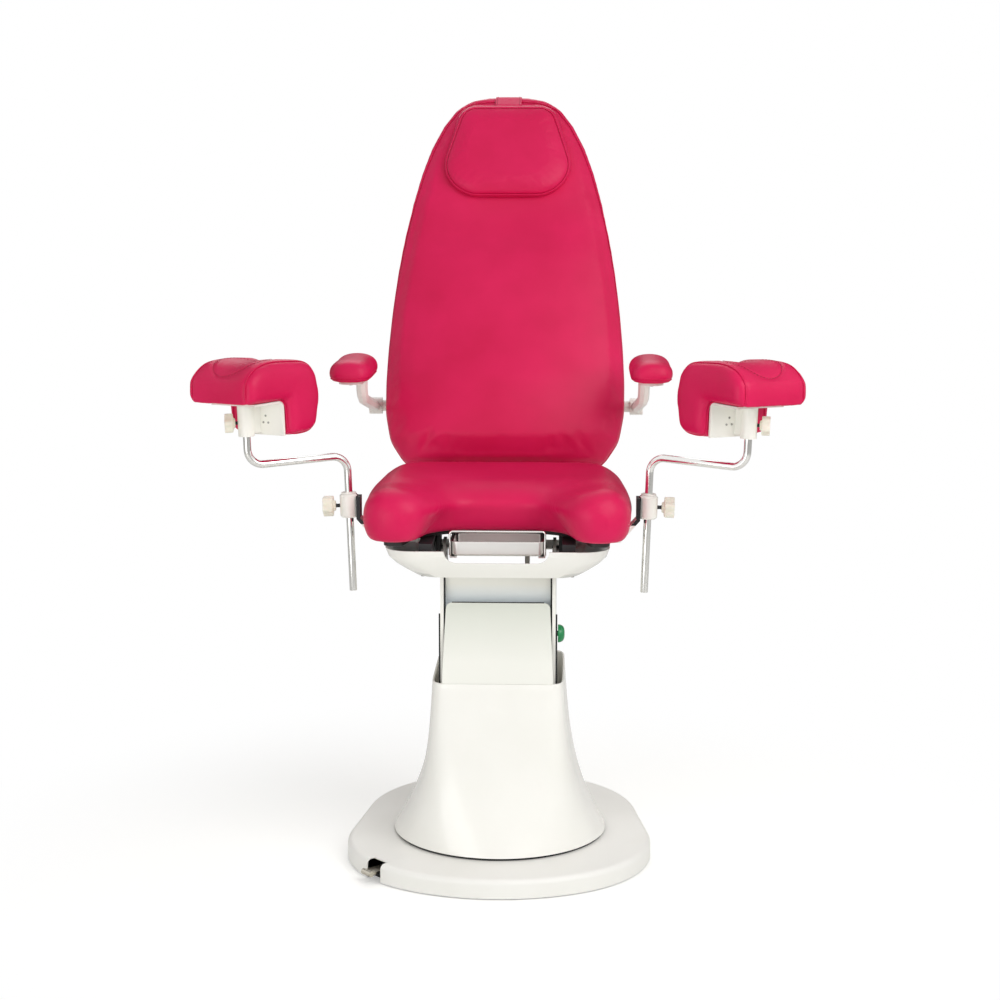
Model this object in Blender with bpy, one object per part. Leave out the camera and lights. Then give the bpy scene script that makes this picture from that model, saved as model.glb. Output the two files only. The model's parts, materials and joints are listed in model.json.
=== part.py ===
# Urological examination chair: swivelling pedestal, lift column, tilting seat, reclining back,
# armrests and two leg holders. Metres, +Z up. The chair faces -Y. The origin is on the floor, on the
# swivel axis.

import math

import bmesh
import bpy
from mathutils import Matrix, Vector

# Clearances
SEAT_GAP = 0.0003
RUN_GAP = 0.0005
SLIDE_GAP = 0.0015

# Base, with the corners of its outline given as they are before rounding
BASE_FRONT = 0.399
BASE_FRONT_RADIUS = 0.390
BASE_CORNER_X = 0.359
BASE_CORNER_FRONT = 0.215
BASE_CORNER_RADIUS = 0.280
BASE_REAR = 0.421
BASE_REAR_X = 0.267
BASE_REAR_RADIUS = 0.305
COVER_WALL = 0.004
COVER_EDGE_RADIUS = 0.012
COVER_LIFT = 0.002
FLOOR_PLATE_THICKNESS = 0.010

# Slewing bearing and turntable
BEARING_RADIUS = 0.155
BEARING_TRACK_RADIUS = 0.132
BEARING_BORE_RADIUS = 0.105
BEARING_HEIGHT = 0.024
BEARING_STEP = 0.003
TURNTABLE_THICKNESS = 0.010
TURNTABLE_CLEARANCE = 0.010
CABLE_HOLE_RADIUS = 0.030

# Lock pedal
PEDAL_ANGLE = math.radians(223)
PEDAL_WIDTH = 0.030
PEDAL_THICKNESS = 0.006
PEDAL_PIVOT_RADIUS = 0.285
PEDAL_OUTER_ARM = 0.087
PEDAL_INNER_ARM = 0.100
PEDAL_TIP_RADIUS = 0.0065
PEDAL_HUB_RADIUS = 0.008
PEDAL_PIN_RADIUS = 0.004
PEDAL_EAR = 0.005
PEDAL_FOOT = 0.003
BRAKE_SHOE_LENGTH = 0.022
BRAKE_SHOE_HEIGHT = 0.0025
NOTCH_DEPTH = 0.034
NOTCH_CLEARANCE = 0.009

# Pedestal skirt
SKIRT_RADIUS = 0.237
SKIRT_OVERLAP = 0.015
SKIRT_FLOAT = 0.005
SKIRT_TOP_Z = 0.410
SKIRT_TOP_HALF_X = 0.142
SKIRT_TOP_HALF_Y = 0.160
SKIRT_WALL = 0.004
SKIRT_FLANGE = 0.030
SKIRT_SQUARENESS = 10.0
SKIRT_POINTS = 40
SKIRT_LEVELS = 9

# Front apron
APRON_HEIGHT = 0.170
APRON_TOP_FRONT = 0.126
APRON_TOP_HALF_WIDTH = 0.111
APRON_BOTTOM_HALF_WIDTH = 0.119
APRON_THICKNESS = 0.004
APRON_CORNER_RADIUS = 0.012

# Lift column
MAST_WIDTH = 0.080
MAST_WALL = 0.005
MAST_Y = -0.020
MAST_TOP_Z = 0.515
MAST_FOOT = 0.140
MAST_FOOT_THICKNESS = 0.008
SLEEVE_WALL = 0.009
SLEEVE_BOTTOM_Z = 0.215
SLEEVE_HEIGHT = 0.220
SLEEVE_WING = 0.008
LIFT_TUBE_RADIUS = 0.022
LIFT_TUBE_TOP_Z = 0.455
LIFT_ROD_RADIUS = 0.012
LIFT_ROD_BOTTOM_Z = 0.215
LIFT_BORE_BOTTOM_Z = 0.120
LIFT_Y = 0.080
GEARBOX_HEIGHT = 0.060
GEARBOX_DEPTH = 0.060
MOTOR_RADIUS = 0.025
MOTOR_OFFSET = 0.062
MOTOR_HEIGHT = 0.150

# Lift carriage
CARRIAGE_HALF_WIDTH = 0.123
CARRIAGE_FRONT = 0.131
CARRIAGE_REAR = 0.120
CARRIAGE_LENGTH = 0.472
CARRIAGE_SHOULDER_DROP = 0.013
SIDE_PLATE = 0.007
REAR_PANEL_DROP = 0.065
BRIDGE_DROP = 0.083
BRIDGE_THICKNESS = 0.010
FRONT_PANEL_SHEET = 0.003
FRONT_PANEL_DROP = 0.021
FRONT_PANEL_KINK_DROP = 0.105
FRONT_PANEL_TOP_SETBACK = 0.016
FRONT_PANEL_SETBACK = 0.030
BUTTON_Y = -0.080
BUTTON_DROP = 0.166
BUTTON_RADIUS = 0.0155
BUTTON_STEM_RADIUS = 0.006
BUTTON_HEIGHT = 0.012
BUTTON_TRAVEL = 0.004
BEZEL_RADIUS = 0.018
BEZEL_HEIGHT = 0.003

# Tilt joint
TILT_DROP = 0.065
TILT_PIN_RADIUS = 0.012
TILT_HEAD_RADIUS = 0.028
TILT_EAR = 0.008
TILT_EAR_GAP = 0.0055
TILT_ARM = 0.020
TILT_HORN_X = 0.060
TILT_HORN_THICKNESS = 0.010
TILT_HORN_HALF_LENGTH = 0.018
ROD_PIN_RADIUS = 0.004
TILT_SLOP = 0.0022

# Seat frame
SEAT_UNDERSIDE_Z = 0.735
SEAT_BOARD_THICKNESS = 0.015
SEAT_BOARD_INSET = 0.040
RAIL_WIDTH = 0.028
RAIL_HEIGHT = 0.040
RAIL_FRONT = 0.190
CROSS_FRONT_Y = 0.0475
CROSS_REAR_Y = 0.1625
CROSS_WIDTH = 0.025
CROSS_FRONT_HEIGHT = 0.020
CROSS_REAR_HEIGHT = 0.030
TILT_ACTUATOR_RADIUS = 0.014
TILT_ROD_RADIUS = 0.006
BACK_ACTUATOR_X = -0.060
BACK_ACTUATOR_RADIUS = 0.018
BACK_ACTUATOR_FRONT_Y = 0.005
BACK_ACTUATOR_REAR_Y = 0.125
BACK_ROD_RADIUS = 0.008
BORE_END_WALL = 0.008

# Under pan
PAN_DROP = 0.028
PAN_DEPTH = 0.062
PAN_TOP_HALF_WIDTH = 0.237
PAN_BOTTOM_HALF_WIDTH = 0.176
PAN_TOP_FRONT = 0.212
PAN_BOTTOM_FRONT = 0.176
PAN_TOP_REAR = 0.170
PAN_BOTTOM_REAR = 0.160
PAN_CORNER_RADIUS = 0.060
PAN_WALL = 0.004
PAN_ROD_CLEARANCE = 0.004
PAN_POST_RADIUS = 0.007
PAN_OPENING_FRONT = 0.150
PAN_OPENING_REAR = 0.146
PAN_OPENING_MARGIN = 0.006
PAN_RECESS_DEPTH = 0.026
PAN_RECESS_MARGIN = 0.012

# Seat cushion
SEAT_HALF_WIDTH = 0.279
SEAT_REAR = 0.205
SEAT_FRONT = 0.262
SEAT_CUTOUT_Y = -0.105
SEAT_LOBE_WIDTH = 0.114
SEAT_LOBE_SLANT = 0.037
SEAT_CORNER_RADIUS = 0.095
SEAT_THICKNESS = 0.098
SEAT_ROLL = 0.034

# Drip basin
BASIN_HALF_WIDTH = 0.0975
BASIN_FRONT = 0.155
BASIN_REAR = 0.036
BASIN_HEIGHT = 0.031
BASIN_WALL = 0.0015
BASIN_RIM = 0.004
RUNNER_SHEET = 0.003
RUNNER_LIP = 0.012

# Backrest
BACK_HINGE_Y = 0.250
BACK_HINGE_RISE = 0.010
BACK_TILT = math.radians(22)
HINGE_SHAFT_RADIUS = 0.010
HINGE_TUBE_WALL = 0.006
HINGE_LUG_RADIUS = 0.018
BACK_LUG_X = 0.115
BACK_LUG_THICKNESS = 0.010
BACK_LUG_WIDTH = 0.030
BACK_LUG_TOP = 0.420
LEVER_REST = math.radians(33)
LEVER_LENGTH = 0.096
LEVER_SLOT_START = 0.069
LEVER_SLOT_END = 0.0825
LEVER_SLOP = 0.0024
BACK_BOTTOM = 0.055
BACK_TOP = 0.985
BACK_HALF_WIDTH = 0.277
BACK_WAIST_S = 0.265
BACK_BOTTOM_HALF_WIDTH = 0.200
BACK_THICKNESS = 0.092
BACK_FRONT = 0.058
BACK_TOP_THICKNESS = 0.052
BACK_SWELL = 0.010
BACK_BOARD_THICKNESS = 0.012
BACK_BOARD_INSET = 0.016
BACK_SHELL_DEPTH = 0.036
BACK_SHELL_WALL = 0.004
BACK_SHELL_INSET = 0.010
ARM_PIVOT_S = 0.235
ARM_TUBE_RADIUS = 0.013

# Headrest
HEAD_HALF_WIDTH = 0.157
HEAD_TOP_HALF_WIDTH = 0.112
HEAD_FOOT_HALF_WIDTH = 0.105
HEAD_HEIGHT = 0.234
HEAD_TOP_DROP = 0.033
HEAD_THICKNESS = 0.034
HEAD_ROLL = 0.034
STRAP_HALF_WIDTH = 0.033
STRAP_THICKNESS = 0.003
STRAP_DROP = 0.120
STRAP_BEND = 0.014

# Armrests
ARM_X = 0.328
ARM_HUB_X = 0.306
ARM_HUB_LENGTH = 0.030
ARM_HUB_WALL = 0.006
ARM_PAD_RISE = 0.094
ARM_PAD_LENGTH = 0.225
ARM_PAD_HALF_WIDTH = 0.044
ARM_PAD_THICKNESS = 0.040
ARM_PAD_REAR = 0.165
ARM_POST = 0.225
ARM_POST_X = 0.316
ARM_ELBOW_RISE = 0.044
ARM_BEND_RADIUS = 0.040
ARM_PLATE_HALF_WIDTH = 0.026
ARM_PLATE_THICKNESS = 0.005

# Leg holders
CLAMP_OFFSET = 0.039
CLAMP_Y = -0.100
CLAMP_RISE = 0.0505
CLAMP_RADIUS = 0.020
CLAMP_HEIGHT = 0.051
CLAMP_STRAP = 0.008
CLAMP_STRAP_HALF_WIDTH = 0.020
CLAMP_SPLAY = math.radians(2)
BUSH_RADIUS = 0.0115
BUSH_FLANGE_RADIUS = 0.016
BUSH_FLANGE = 0.003
LEG_ROD_RADIUS = 0.008
LEG_ROD_DROP = 0.185
LEG_ROD_RISE = 0.1075
LEG_ROD_RUN = 0.2234
LEG_ROD_HEAD = 0.115
LEG_ROD_BEND = 0.034
LEG_RUN_ANGLE = math.radians(30)
KNOB_RADIUS = 0.023
KNOB_THICKNESS = 0.022
KNOB_LOBES = 5
KNOB_STUD_RADIUS = 0.004
CLAMP_KNOB_REACH = 0.014

# Knee supports
PAD_TURN = math.radians(36)
PAD_WIDTH = 0.182
PAD_BOTTOM = 0.060
PAD_NOTCH = 0.136
PAD_TOP = 0.218
PAD_FRONT = 0.078
PAD_REAR = 0.140
PAD_WALL_FRONT = 0.038
PAD_VALLEY = 0.018
PAD_ROLL = 0.020
BOSS_RADIUS = 0.017
BOSS_BOTTOM = 0.062
BRACKET_SHEET = 0.005
BRACKET_INNER = 0.075
BRACKET_OUTER = 0.050
PAD_KNOB_HEIGHT = 0.090
PAD_KNOB_TURN = math.radians(42)
PAD_KNOB_SCALE = 0.9
PAD_KNOB_REACH = 0.009

ARC_STEP = math.radians(11)
ROUND = 20
SMALL_ROUND = 12

# Heights and radii that follow from the sizes above
floor_plate_top = FLOOR_PLATE_THICKNESS
bearing_bottom = floor_plate_top + SEAT_GAP
turntable_bottom = bearing_bottom + BEARING_HEIGHT + BEARING_STEP + SEAT_GAP
turntable_top = turntable_bottom + TURNTABLE_THICKNESS
skirt_bottom = turntable_top + SEAT_GAP
cover_top = skirt_bottom - SKIRT_FLOAT
cover_opening_radius = SKIRT_RADIUS - SKIRT_OVERLAP
turntable_radius = cover_opening_radius - TURNTABLE_CLEARANCE
pedal_pivot_z = floor_plate_top + SEAT_GAP + PEDAL_FOOT + PEDAL_HUB_RADIUS + RUN_GAP
apron_top_z = SKIRT_TOP_Z + APRON_HEIGHT
tilt_z = SEAT_UNDERSIDE_Z - TILT_DROP
back_hinge_z = SEAT_UNDERSIDE_Z + BACK_HINGE_RISE
clamp_z = SEAT_UNDERSIDE_Z + CLAMP_RISE
pan_top_z = SEAT_UNDERSIDE_Z - PAN_DROP
pan_bottom_z = pan_top_z - PAN_DEPTH
pan_recess_z = pan_top_z - PAN_RECESS_DEPTH
carriage_shoulder_z = tilt_z - CARRIAGE_SHOULDER_DROP
carriage_bottom_z = carriage_shoulder_z - CARRIAGE_LENGTH
rear_panel_top_z = tilt_z - REAR_PANEL_DROP
bridge_z = tilt_z - BRIDGE_DROP
front_panel_top_z = tilt_z - FRONT_PANEL_DROP
front_panel_kink_z = tilt_z - FRONT_PANEL_KINK_DROP
button_z = tilt_z - BUTTON_DROP
carriage_inner = CARRIAGE_HALF_WIDTH - SIDE_PLATE
bridge_top = bridge_z + BRIDGE_THICKNESS
board_bottom = SEAT_UNDERSIDE_Z - SEAT_GAP - SEAT_BOARD_THICKNESS
rail_top = board_bottom - SEAT_GAP
rail_bottom = rail_top - RAIL_HEIGHT
rail_inner = CARRIAGE_HALF_WIDTH + TILT_EAR_GAP + TILT_EAR
rail_outer = rail_inner + RAIL_WIDTH
runner_bottom = rail_top - BASIN_HEIGHT - SEAT_GAP - RUNNER_SHEET - SLIDE_GAP
tilt_rod_z = tilt_z + TILT_ARM
back_rod_z = back_hinge_z - LEVER_SLOT_START
pan_rear_z = back_rod_z - BACK_ROD_RADIUS - PAN_ROD_CLEARANCE
tilt_rod_x = TILT_HORN_X + TILT_HORN_THICKNESS / 2 + TILT_ROD_RADIUS + SLIDE_GAP
clamp_x = SEAT_HALF_WIDTH + CLAMP_OFFSET
bush_bore = LEG_ROD_RADIUS + RUN_GAP
clamp_bore = BUSH_RADIUS + RUN_GAP
back_rear = BACK_THICKNESS - BACK_FRONT
board_front = back_rear + SEAT_GAP
board_rear = board_front + BACK_BOARD_THICKNESS
lug_centre = board_rear + SEAT_GAP + BACK_LUG_WIDTH / 2
hinge_tube_radius = HINGE_SHAFT_RADIUS + RUN_GAP + HINGE_TUBE_WALL
head_top_s = BACK_TOP - HEAD_TOP_DROP
head_centre_s = head_top_s - HEAD_HEIGHT / 2


def clear_scene():
    for obj in list(bpy.data.objects):
        bpy.data.objects.remove(obj)


def material(name, colour, roughness, metallic=0.0):
    result = bpy.data.materials.new(name)
    result.use_nodes = True
    shader = result.node_tree.nodes["Principled BSDF"]
    shader.inputs["Base Color"].default_value = (*colour, 1.0)
    shader.inputs["Roughness"].default_value = roughness
    shader.inputs["Metallic"].default_value = metallic
    return result


# Outlines in a plane

def rounded(corners):
    """Counter-clockwise outline through (x, y, radius) corners, each rounded by an arc."""
    points = []
    for index, (x, y, radius) in enumerate(corners):
        corner = Vector((x, y))
        to_last = Vector(corners[index - 1][:2]) - corner
        to_next = Vector(corners[(index + 1) % len(corners)][:2]) - corner
        if radius <= 0:
            points.append(corner)
            continue
        half_angle = to_last.angle(to_next) / 2
        reach = min(radius / math.tan(half_angle), to_last.length / 2, to_next.length / 2)
        radius = reach * math.tan(half_angle)
        bisector = (to_last.normalized() + to_next.normalized()).normalized()
        centre = corner + bisector * (radius / math.sin(half_angle))
        spoke = corner + to_last.normalized() * reach - centre
        sweep = math.pi - 2 * half_angle
        turn = math.copysign(sweep, to_next.cross(to_last))
        steps = max(1, math.ceil(sweep / ARC_STEP))
        for step in range(steps + 1):
            points.append(centre + Matrix.Rotation(turn * step / steps, 2) @ spoke)
    return points


def mirrored(half):
    """Whole outline from the corners of its right half, listed from front to rear."""
    left = [(-x, y, radius) for x, y, radius in reversed(half) if x > 0]
    return rounded(half + left)


def inset(outline, distance):
    """The counter-clockwise outline moved inwards."""
    moved = []
    for index, point in enumerate(outline):
        before = (point - outline[index - 1]).normalized()
        after = (outline[(index + 1) % len(outline)] - point).normalized()
        normal = Vector((-before.y - after.y, before.x + after.x)).normalized()
        stretch = max(0.4, normal.dot(Vector((-before.y, before.x))))
        moved.append(point + normal * (distance / stretch))
    return moved


def strap(path, half_width):
    """Outline of a flat bar with square ends along a path in a plane."""
    left = []
    right = []
    for index, point in enumerate(path):
        last = path[max(index - 1, 0)]
        following = path[min(index + 1, len(path) - 1)]
        before = (Vector(point) - Vector(last)).normalized() if index > 0 else None
        after = (Vector(following) - Vector(point)).normalized() if index < len(path) - 1 else None
        before = before or after
        after = after or before
        normal = Vector((-before.y - after.y, before.x + after.x)).normalized()
        stretch = normal.dot(Vector((-before.y, before.x)))
        offset = normal * (half_width / stretch)
        left.append(Vector(point) + offset)
        right.append(Vector(point) - offset)
    return right + left[::-1]


def bent(corners, radius):
    """Path in space through corners, with each inner corner rounded by an arc."""
    points = [Vector(corners[0])]
    for last, corner, following in zip(corners, corners[1:], corners[2:]):
        corner = Vector(corner)
        to_last = (Vector(last) - corner).normalized()
        to_next = (Vector(following) - corner).normalized()
        half_angle = to_last.angle(to_next) / 2
        reach = radius / math.tan(half_angle)
        centre = corner + (to_last + to_next).normalized() * (radius / math.sin(half_angle))
        spoke = corner + to_last * reach - centre
        axis = to_next.cross(to_last)
        sweep = math.pi - 2 * half_angle
        steps = max(2, math.ceil(sweep / ARC_STEP))
        for step in range(steps + 1):
            points.append(centre + Matrix.Rotation(sweep * step / steps, 3, axis) @ spoke)
    points.append(Vector(corners[-1]))
    return points


# Solids

def solid(bm):
    bmesh.ops.recalc_face_normals(bm, faces=bm.faces)
    mesh = bpy.data.meshes.new("solid")
    bm.to_mesh(mesh)
    bm.free()
    obj = bpy.data.objects.new("solid", mesh)
    bpy.context.scene.collection.objects.link(obj)
    return obj


def box(low, high):
    bm = bmesh.new()
    middle = (Vector(low) + Vector(high)) / 2
    size = Vector(high) - Vector(low)
    place = Matrix.Translation(middle) @ Matrix.Diagonal((*size, 1.0))
    bmesh.ops.create_cube(bm, size=1.0, matrix=place)
    return solid(bm)


def cylinder(radius, start, end, segments=ROUND, end_radius=None):
    bm = bmesh.new()
    span = Vector(end) - Vector(start)
    turn = Vector((0, 0, 1)).rotation_difference(span).to_matrix().to_4x4()
    place = Matrix.Translation((Vector(start) + Vector(end)) / 2) @ turn
    tip = radius if end_radius is None else end_radius
    bmesh.ops.create_cone(bm, cap_ends=True, segments=segments, radius1=radius, radius2=tip,
                          depth=span.length, matrix=place)
    return solid(bm)


def prism(outline, plane, low, high):
    """Extrudes an outline. Plane XY runs along Z, plane YZ along X, plane XZ along Y."""
    order = {"XY": lambda a, b, t: (a, b, t), "YZ": lambda a, b, t: (t, a, b), "XZ": lambda a, b, t: (a, t, b)}
    bm = bmesh.new()
    face = bm.faces.new([bm.verts.new(order[plane](a, b, low)) for a, b in outline])
    grown = bmesh.ops.extrude_face_region(bm, geom=[face])
    step = Vector(order[plane](0, 0, high)) - Vector(order[plane](0, 0, low))
    moved = [item for item in grown["geom"] if isinstance(item, bmesh.types.BMVert)]
    bmesh.ops.translate(bm, vec=step, verts=moved)
    return solid(bm)


def loft(loops, closed=False):
    """Skin through loops of equally many points, with both ends capped or joined to each other."""
    bm = bmesh.new()
    rings = [[bm.verts.new(point) for point in loop] for loop in loops]
    pairs = list(zip(rings, rings[1:]))
    if closed:
        pairs.append((rings[-1], rings[0]))
    else:
        bm.faces.new(rings[0][::-1])
        bm.faces.new(rings[-1])
    for low, high in pairs:
        for index in range(len(low)):
            after = (index + 1) % len(low)
            bm.faces.new((low[index], low[after], high[after], high[index]))
    return solid(bm)


def stacked(outline, levels):
    """Loft of one outline over (inset, z) levels."""
    return loft([[(x, y, z) for x, y in inset(outline, amount)] for amount, z in levels])


def turned(profile, segments=ROUND):
    """Ring or knob turned about Z from a closed (radius, z) profile."""
    loops = []
    for step in range(segments):
        angle = 2 * math.pi * step / segments
        loops.append([(radius * math.cos(angle), radius * math.sin(angle), z) for radius, z in profile])
    return loft(loops, closed=True)


def drum(profile, segments=ROUND):
    """Solid turned about Z through (radius, z) rings."""
    loops = []
    for radius, z in profile:
        turns = [2 * math.pi * step / segments for step in range(segments)]
        loops.append([(radius * math.cos(turn), radius * math.sin(turn), z) for turn in turns])
    return loft(loops)


def tube(path, radius, resolution=3):
    """Round bar along a path, with closed ends."""
    curve = bpy.data.curves.new("bar", "CURVE")
    curve.dimensions = "3D"
    curve.bevel_depth = radius
    curve.bevel_resolution = resolution
    curve.use_fill_caps = True
    spline = curve.splines.new("POLY")
    spline.points.add(len(path) - 1)
    for point, place in zip(spline.points, path):
        point.co = (*place, 1.0)
    guide = bpy.data.objects.new("bar", curve)
    bpy.context.scene.collection.objects.link(guide)
    bm = bmesh.new()
    mesh = bpy.data.meshes.new_from_object(guide.evaluated_get(bpy.context.evaluated_depsgraph_get()))
    bm.from_mesh(mesh)
    bpy.data.objects.remove(guide)
    bmesh.ops.remove_doubles(bm, verts=bm.verts, dist=0.00001)
    return solid(bm)


def combined(body, others, operation):
    for other in others:
        modifier = body.modifiers.new(operation, "BOOLEAN")
        modifier.operation = operation
        modifier.solver = "EXACT"
        modifier.object = other
        bpy.context.view_layer.update()
        evaluated = body.evaluated_get(bpy.context.evaluated_depsgraph_get())
        mesh = bpy.data.meshes.new_from_object(evaluated)
        body.modifiers.remove(modifier)
        body.data = mesh
        bpy.data.objects.remove(other)
    return body


def welded(body, *others):
    return combined(body, others, "UNION")


def cut(body, *others):
    return combined(body, others, "DIFFERENCE")


def moved(obj, matrix):
    obj.data.transform(matrix)
    return obj


# Frames that carry the pieces

def axis_frame(name, parent=None, location=(0, 0, 0), rotation=(0, 0, 0)):
    frame = bpy.data.objects.new(name, None)
    frame.empty_display_size = 0.05
    frame.location = location
    frame.rotation_euler = rotation
    frame.parent = parent
    bpy.context.scene.collection.objects.link(frame)
    bpy.context.view_layer.update()
    return frame


def piece(obj, name, finish, frame, local=False):
    """Names a solid, gives it its finish and hangs it on its frame."""
    if not local:
        obj.data.transform(frame.matrix_world.inverted())
    obj.name = name
    obj.data.name = name
    obj.data.materials.clear()
    obj.data.materials.append(finish)
    obj.data.shade_smooth()
    obj.data.set_sharp_from_angle(angle=math.radians(35))
    obj.parent = frame
    return obj


# Base

def base_outline():
    return mirrored([
        (0, -BASE_FRONT, BASE_FRONT_RADIUS),
        (BASE_CORNER_X, -BASE_CORNER_FRONT, BASE_CORNER_RADIUS),
        (BASE_REAR_X, BASE_REAR, BASE_REAR_RADIUS),
    ])


def pedal_place():
    turn = Matrix.Rotation(PEDAL_ANGLE, 4, "Z")
    return turn @ Matrix.Translation((PEDAL_PIVOT_RADIUS, 0, pedal_pivot_z))


def pedal_notch():
    half_width = PEDAL_WIDTH / 2 + NOTCH_CLEARANCE
    inner = PEDAL_OUTER_ARM + PEDAL_TIP_RADIUS - NOTCH_DEPTH - NOTCH_CLEARANCE
    notch = box((inner, -half_width, -BASE_FRONT), (BASE_FRONT, half_width, BASE_FRONT))
    return moved(notch, pedal_place())


def make_base(frame, finish):
    outline = base_outline()
    plate = prism(inset(outline, COVER_WALL + SEAT_GAP), "XY", 0, FLOOR_PLATE_THICKNESS)
    piece(cut(plate, pedal_notch()), "floor_plate", finish["dark_steel"], frame)

    levels = [(0, COVER_LIFT), (0, cover_top - COVER_EDGE_RADIUS)]
    for step in range(1, 5):
        angle = math.radians(90) * step / 4
        rise = COVER_EDGE_RADIUS * (1 - math.sin(angle))
        levels.append((COVER_EDGE_RADIUS * (1 - math.cos(angle)), cover_top - rise))
    cover = stacked(outline, levels)
    hollow = prism(inset(outline, COVER_WALL), "XY", -cover_top, cover_top - COVER_WALL)
    opening = cylinder(cover_opening_radius, (0, 0, -cover_top), (0, 0, 2 * cover_top), 48)
    cover = cut(cover, hollow, opening, pedal_notch())
    piece(cover, "base_cover", finish["grey_plastic"], frame)

    outer_ring = turned([
        (BEARING_TRACK_RADIUS + RUN_GAP, bearing_bottom),
        (BEARING_RADIUS, bearing_bottom),
        (BEARING_RADIUS, bearing_bottom + BEARING_HEIGHT),
        (BEARING_TRACK_RADIUS + RUN_GAP, bearing_bottom + BEARING_HEIGHT),
    ], 48)
    piece(outer_ring, "bearing_outer_ring", finish["steel"], frame)

    half = PEDAL_WIDTH / 2 + RUN_GAP
    foot_z = floor_plate_top + SEAT_GAP - pedal_pivot_z
    reach = 2 * PEDAL_HUB_RADIUS
    bracket = box((-reach, -half - PEDAL_EAR, foot_z), (reach, half + PEDAL_EAR, foot_z + PEDAL_FOOT))
    ear = rounded([
        (-PEDAL_HUB_RADIUS, foot_z + PEDAL_FOOT / 2, 0),
        (PEDAL_HUB_RADIUS, foot_z + PEDAL_FOOT / 2, 0),
        (PEDAL_HUB_RADIUS, PEDAL_HUB_RADIUS, PEDAL_HUB_RADIUS),
        (-PEDAL_HUB_RADIUS, PEDAL_HUB_RADIUS, PEDAL_HUB_RADIUS),
    ])
    bracket = welded(bracket, prism(ear, "XZ", half, half + PEDAL_EAR), prism(ear, "XZ", -half - PEDAL_EAR, -half))
    pin_end = half + PEDAL_EAR + RUN_GAP
    hole = cylinder(PEDAL_PIN_RADIUS + SEAT_GAP, (0, -2 * pin_end, 0), (0, 2 * pin_end, 0), SMALL_ROUND)
    piece(moved(cut(bracket, hole), pedal_place()), "pedal_bracket", finish["steel"], frame)
    pin = cylinder(PEDAL_PIN_RADIUS, (0, -pin_end, 0), (0, pin_end, 0), SMALL_ROUND)
    piece(moved(pin, pedal_place()), "pedal_pin", finish["steel"], frame)


def make_pedal(base, finish):
    frame = axis_frame("pedal_axis", base)
    frame.matrix_local = pedal_place()
    bpy.context.view_layer.update()
    half = PEDAL_WIDTH / 2
    thick = PEDAL_THICKNESS / 2
    bar = box((-PEDAL_INNER_ARM, -half, -thick), (PEDAL_OUTER_ARM, half, thick))
    roll = half - SEAT_GAP
    tip = cylinder(PEDAL_TIP_RADIUS, (PEDAL_OUTER_ARM, -roll, 0), (PEDAL_OUTER_ARM, roll, 0), SMALL_ROUND)
    hub = cylinder(PEDAL_HUB_RADIUS, (0, -roll, 0), (0, roll, 0), SMALL_ROUND)
    shoe_end = BRAKE_SHOE_LENGTH - PEDAL_INNER_ARM
    shoe = box((SEAT_GAP - PEDAL_INNER_ARM, -roll, 0), (shoe_end, roll, thick + BRAKE_SHOE_HEIGHT))
    bore = cylinder(PEDAL_PIN_RADIUS + RUN_GAP, (0, -PEDAL_WIDTH, 0), (0, PEDAL_WIDTH, 0), SMALL_ROUND)
    pedal = cut(welded(bar, tip, hub, shoe), bore)
    piece(pedal, "lock_pedal", finish["chrome"], frame, local=True)


# Turntable and pedestal cover

def skirt_loop(half_x, half_y, squareness, z):
    points = []
    for step in range(SKIRT_POINTS):
        angle = 2 * math.pi * (step + 0.5) / SKIRT_POINTS
        x = math.copysign(abs(math.cos(angle)) ** (2 / squareness), math.cos(angle))
        y = math.copysign(abs(math.sin(angle)) ** (2 / squareness), math.sin(angle))
        points.append((half_x * x, half_y * y, z))
    return points


def skirt_section(share, wall):
    """Trumpet flare from the round foot (share 0) to the squared head (share 1)."""
    flare = 0.25 * (1 - share) + 0.75 * (1 - share) ** 3.5
    half_x = SKIRT_TOP_HALF_X + (SKIRT_RADIUS - SKIRT_TOP_HALF_X) * flare - wall
    half_y = SKIRT_TOP_HALF_Y + (SKIRT_RADIUS - SKIRT_TOP_HALF_Y) * flare - wall
    squareness = 2 + (SKIRT_SQUARENESS - 2) * share ** 1.2
    z = skirt_bottom + (SKIRT_TOP_Z - skirt_bottom) * share
    return half_x, half_y, squareness, z


def make_skirt(frame, finish):
    shares = [(step / (SKIRT_LEVELS - 1)) ** 1.3 for step in range(SKIRT_LEVELS)]
    loops = [skirt_loop(*skirt_section(share, 0)) for share in shares]
    inner_shares = [share for share in shares[::-1] if share > 0]
    loops += [skirt_loop(*skirt_section(share, SKIRT_WALL)) for share in inner_shares]
    flange_top = skirt_bottom + SKIRT_WALL
    wall_radius = skirt_section(SKIRT_WALL / (SKIRT_TOP_Z - skirt_bottom), SKIRT_WALL)[0]
    flange_radius = turntable_radius - SKIRT_FLANGE
    loops.append(skirt_loop(wall_radius, wall_radius, 2, flange_top))
    loops.append(skirt_loop(flange_radius, flange_radius, 2, flange_top))
    loops.append(skirt_loop(flange_radius, flange_radius, 2, skirt_bottom))
    piece(loft(loops, closed=True), "pedestal_skirt", finish["white_plastic"], frame)


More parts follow.
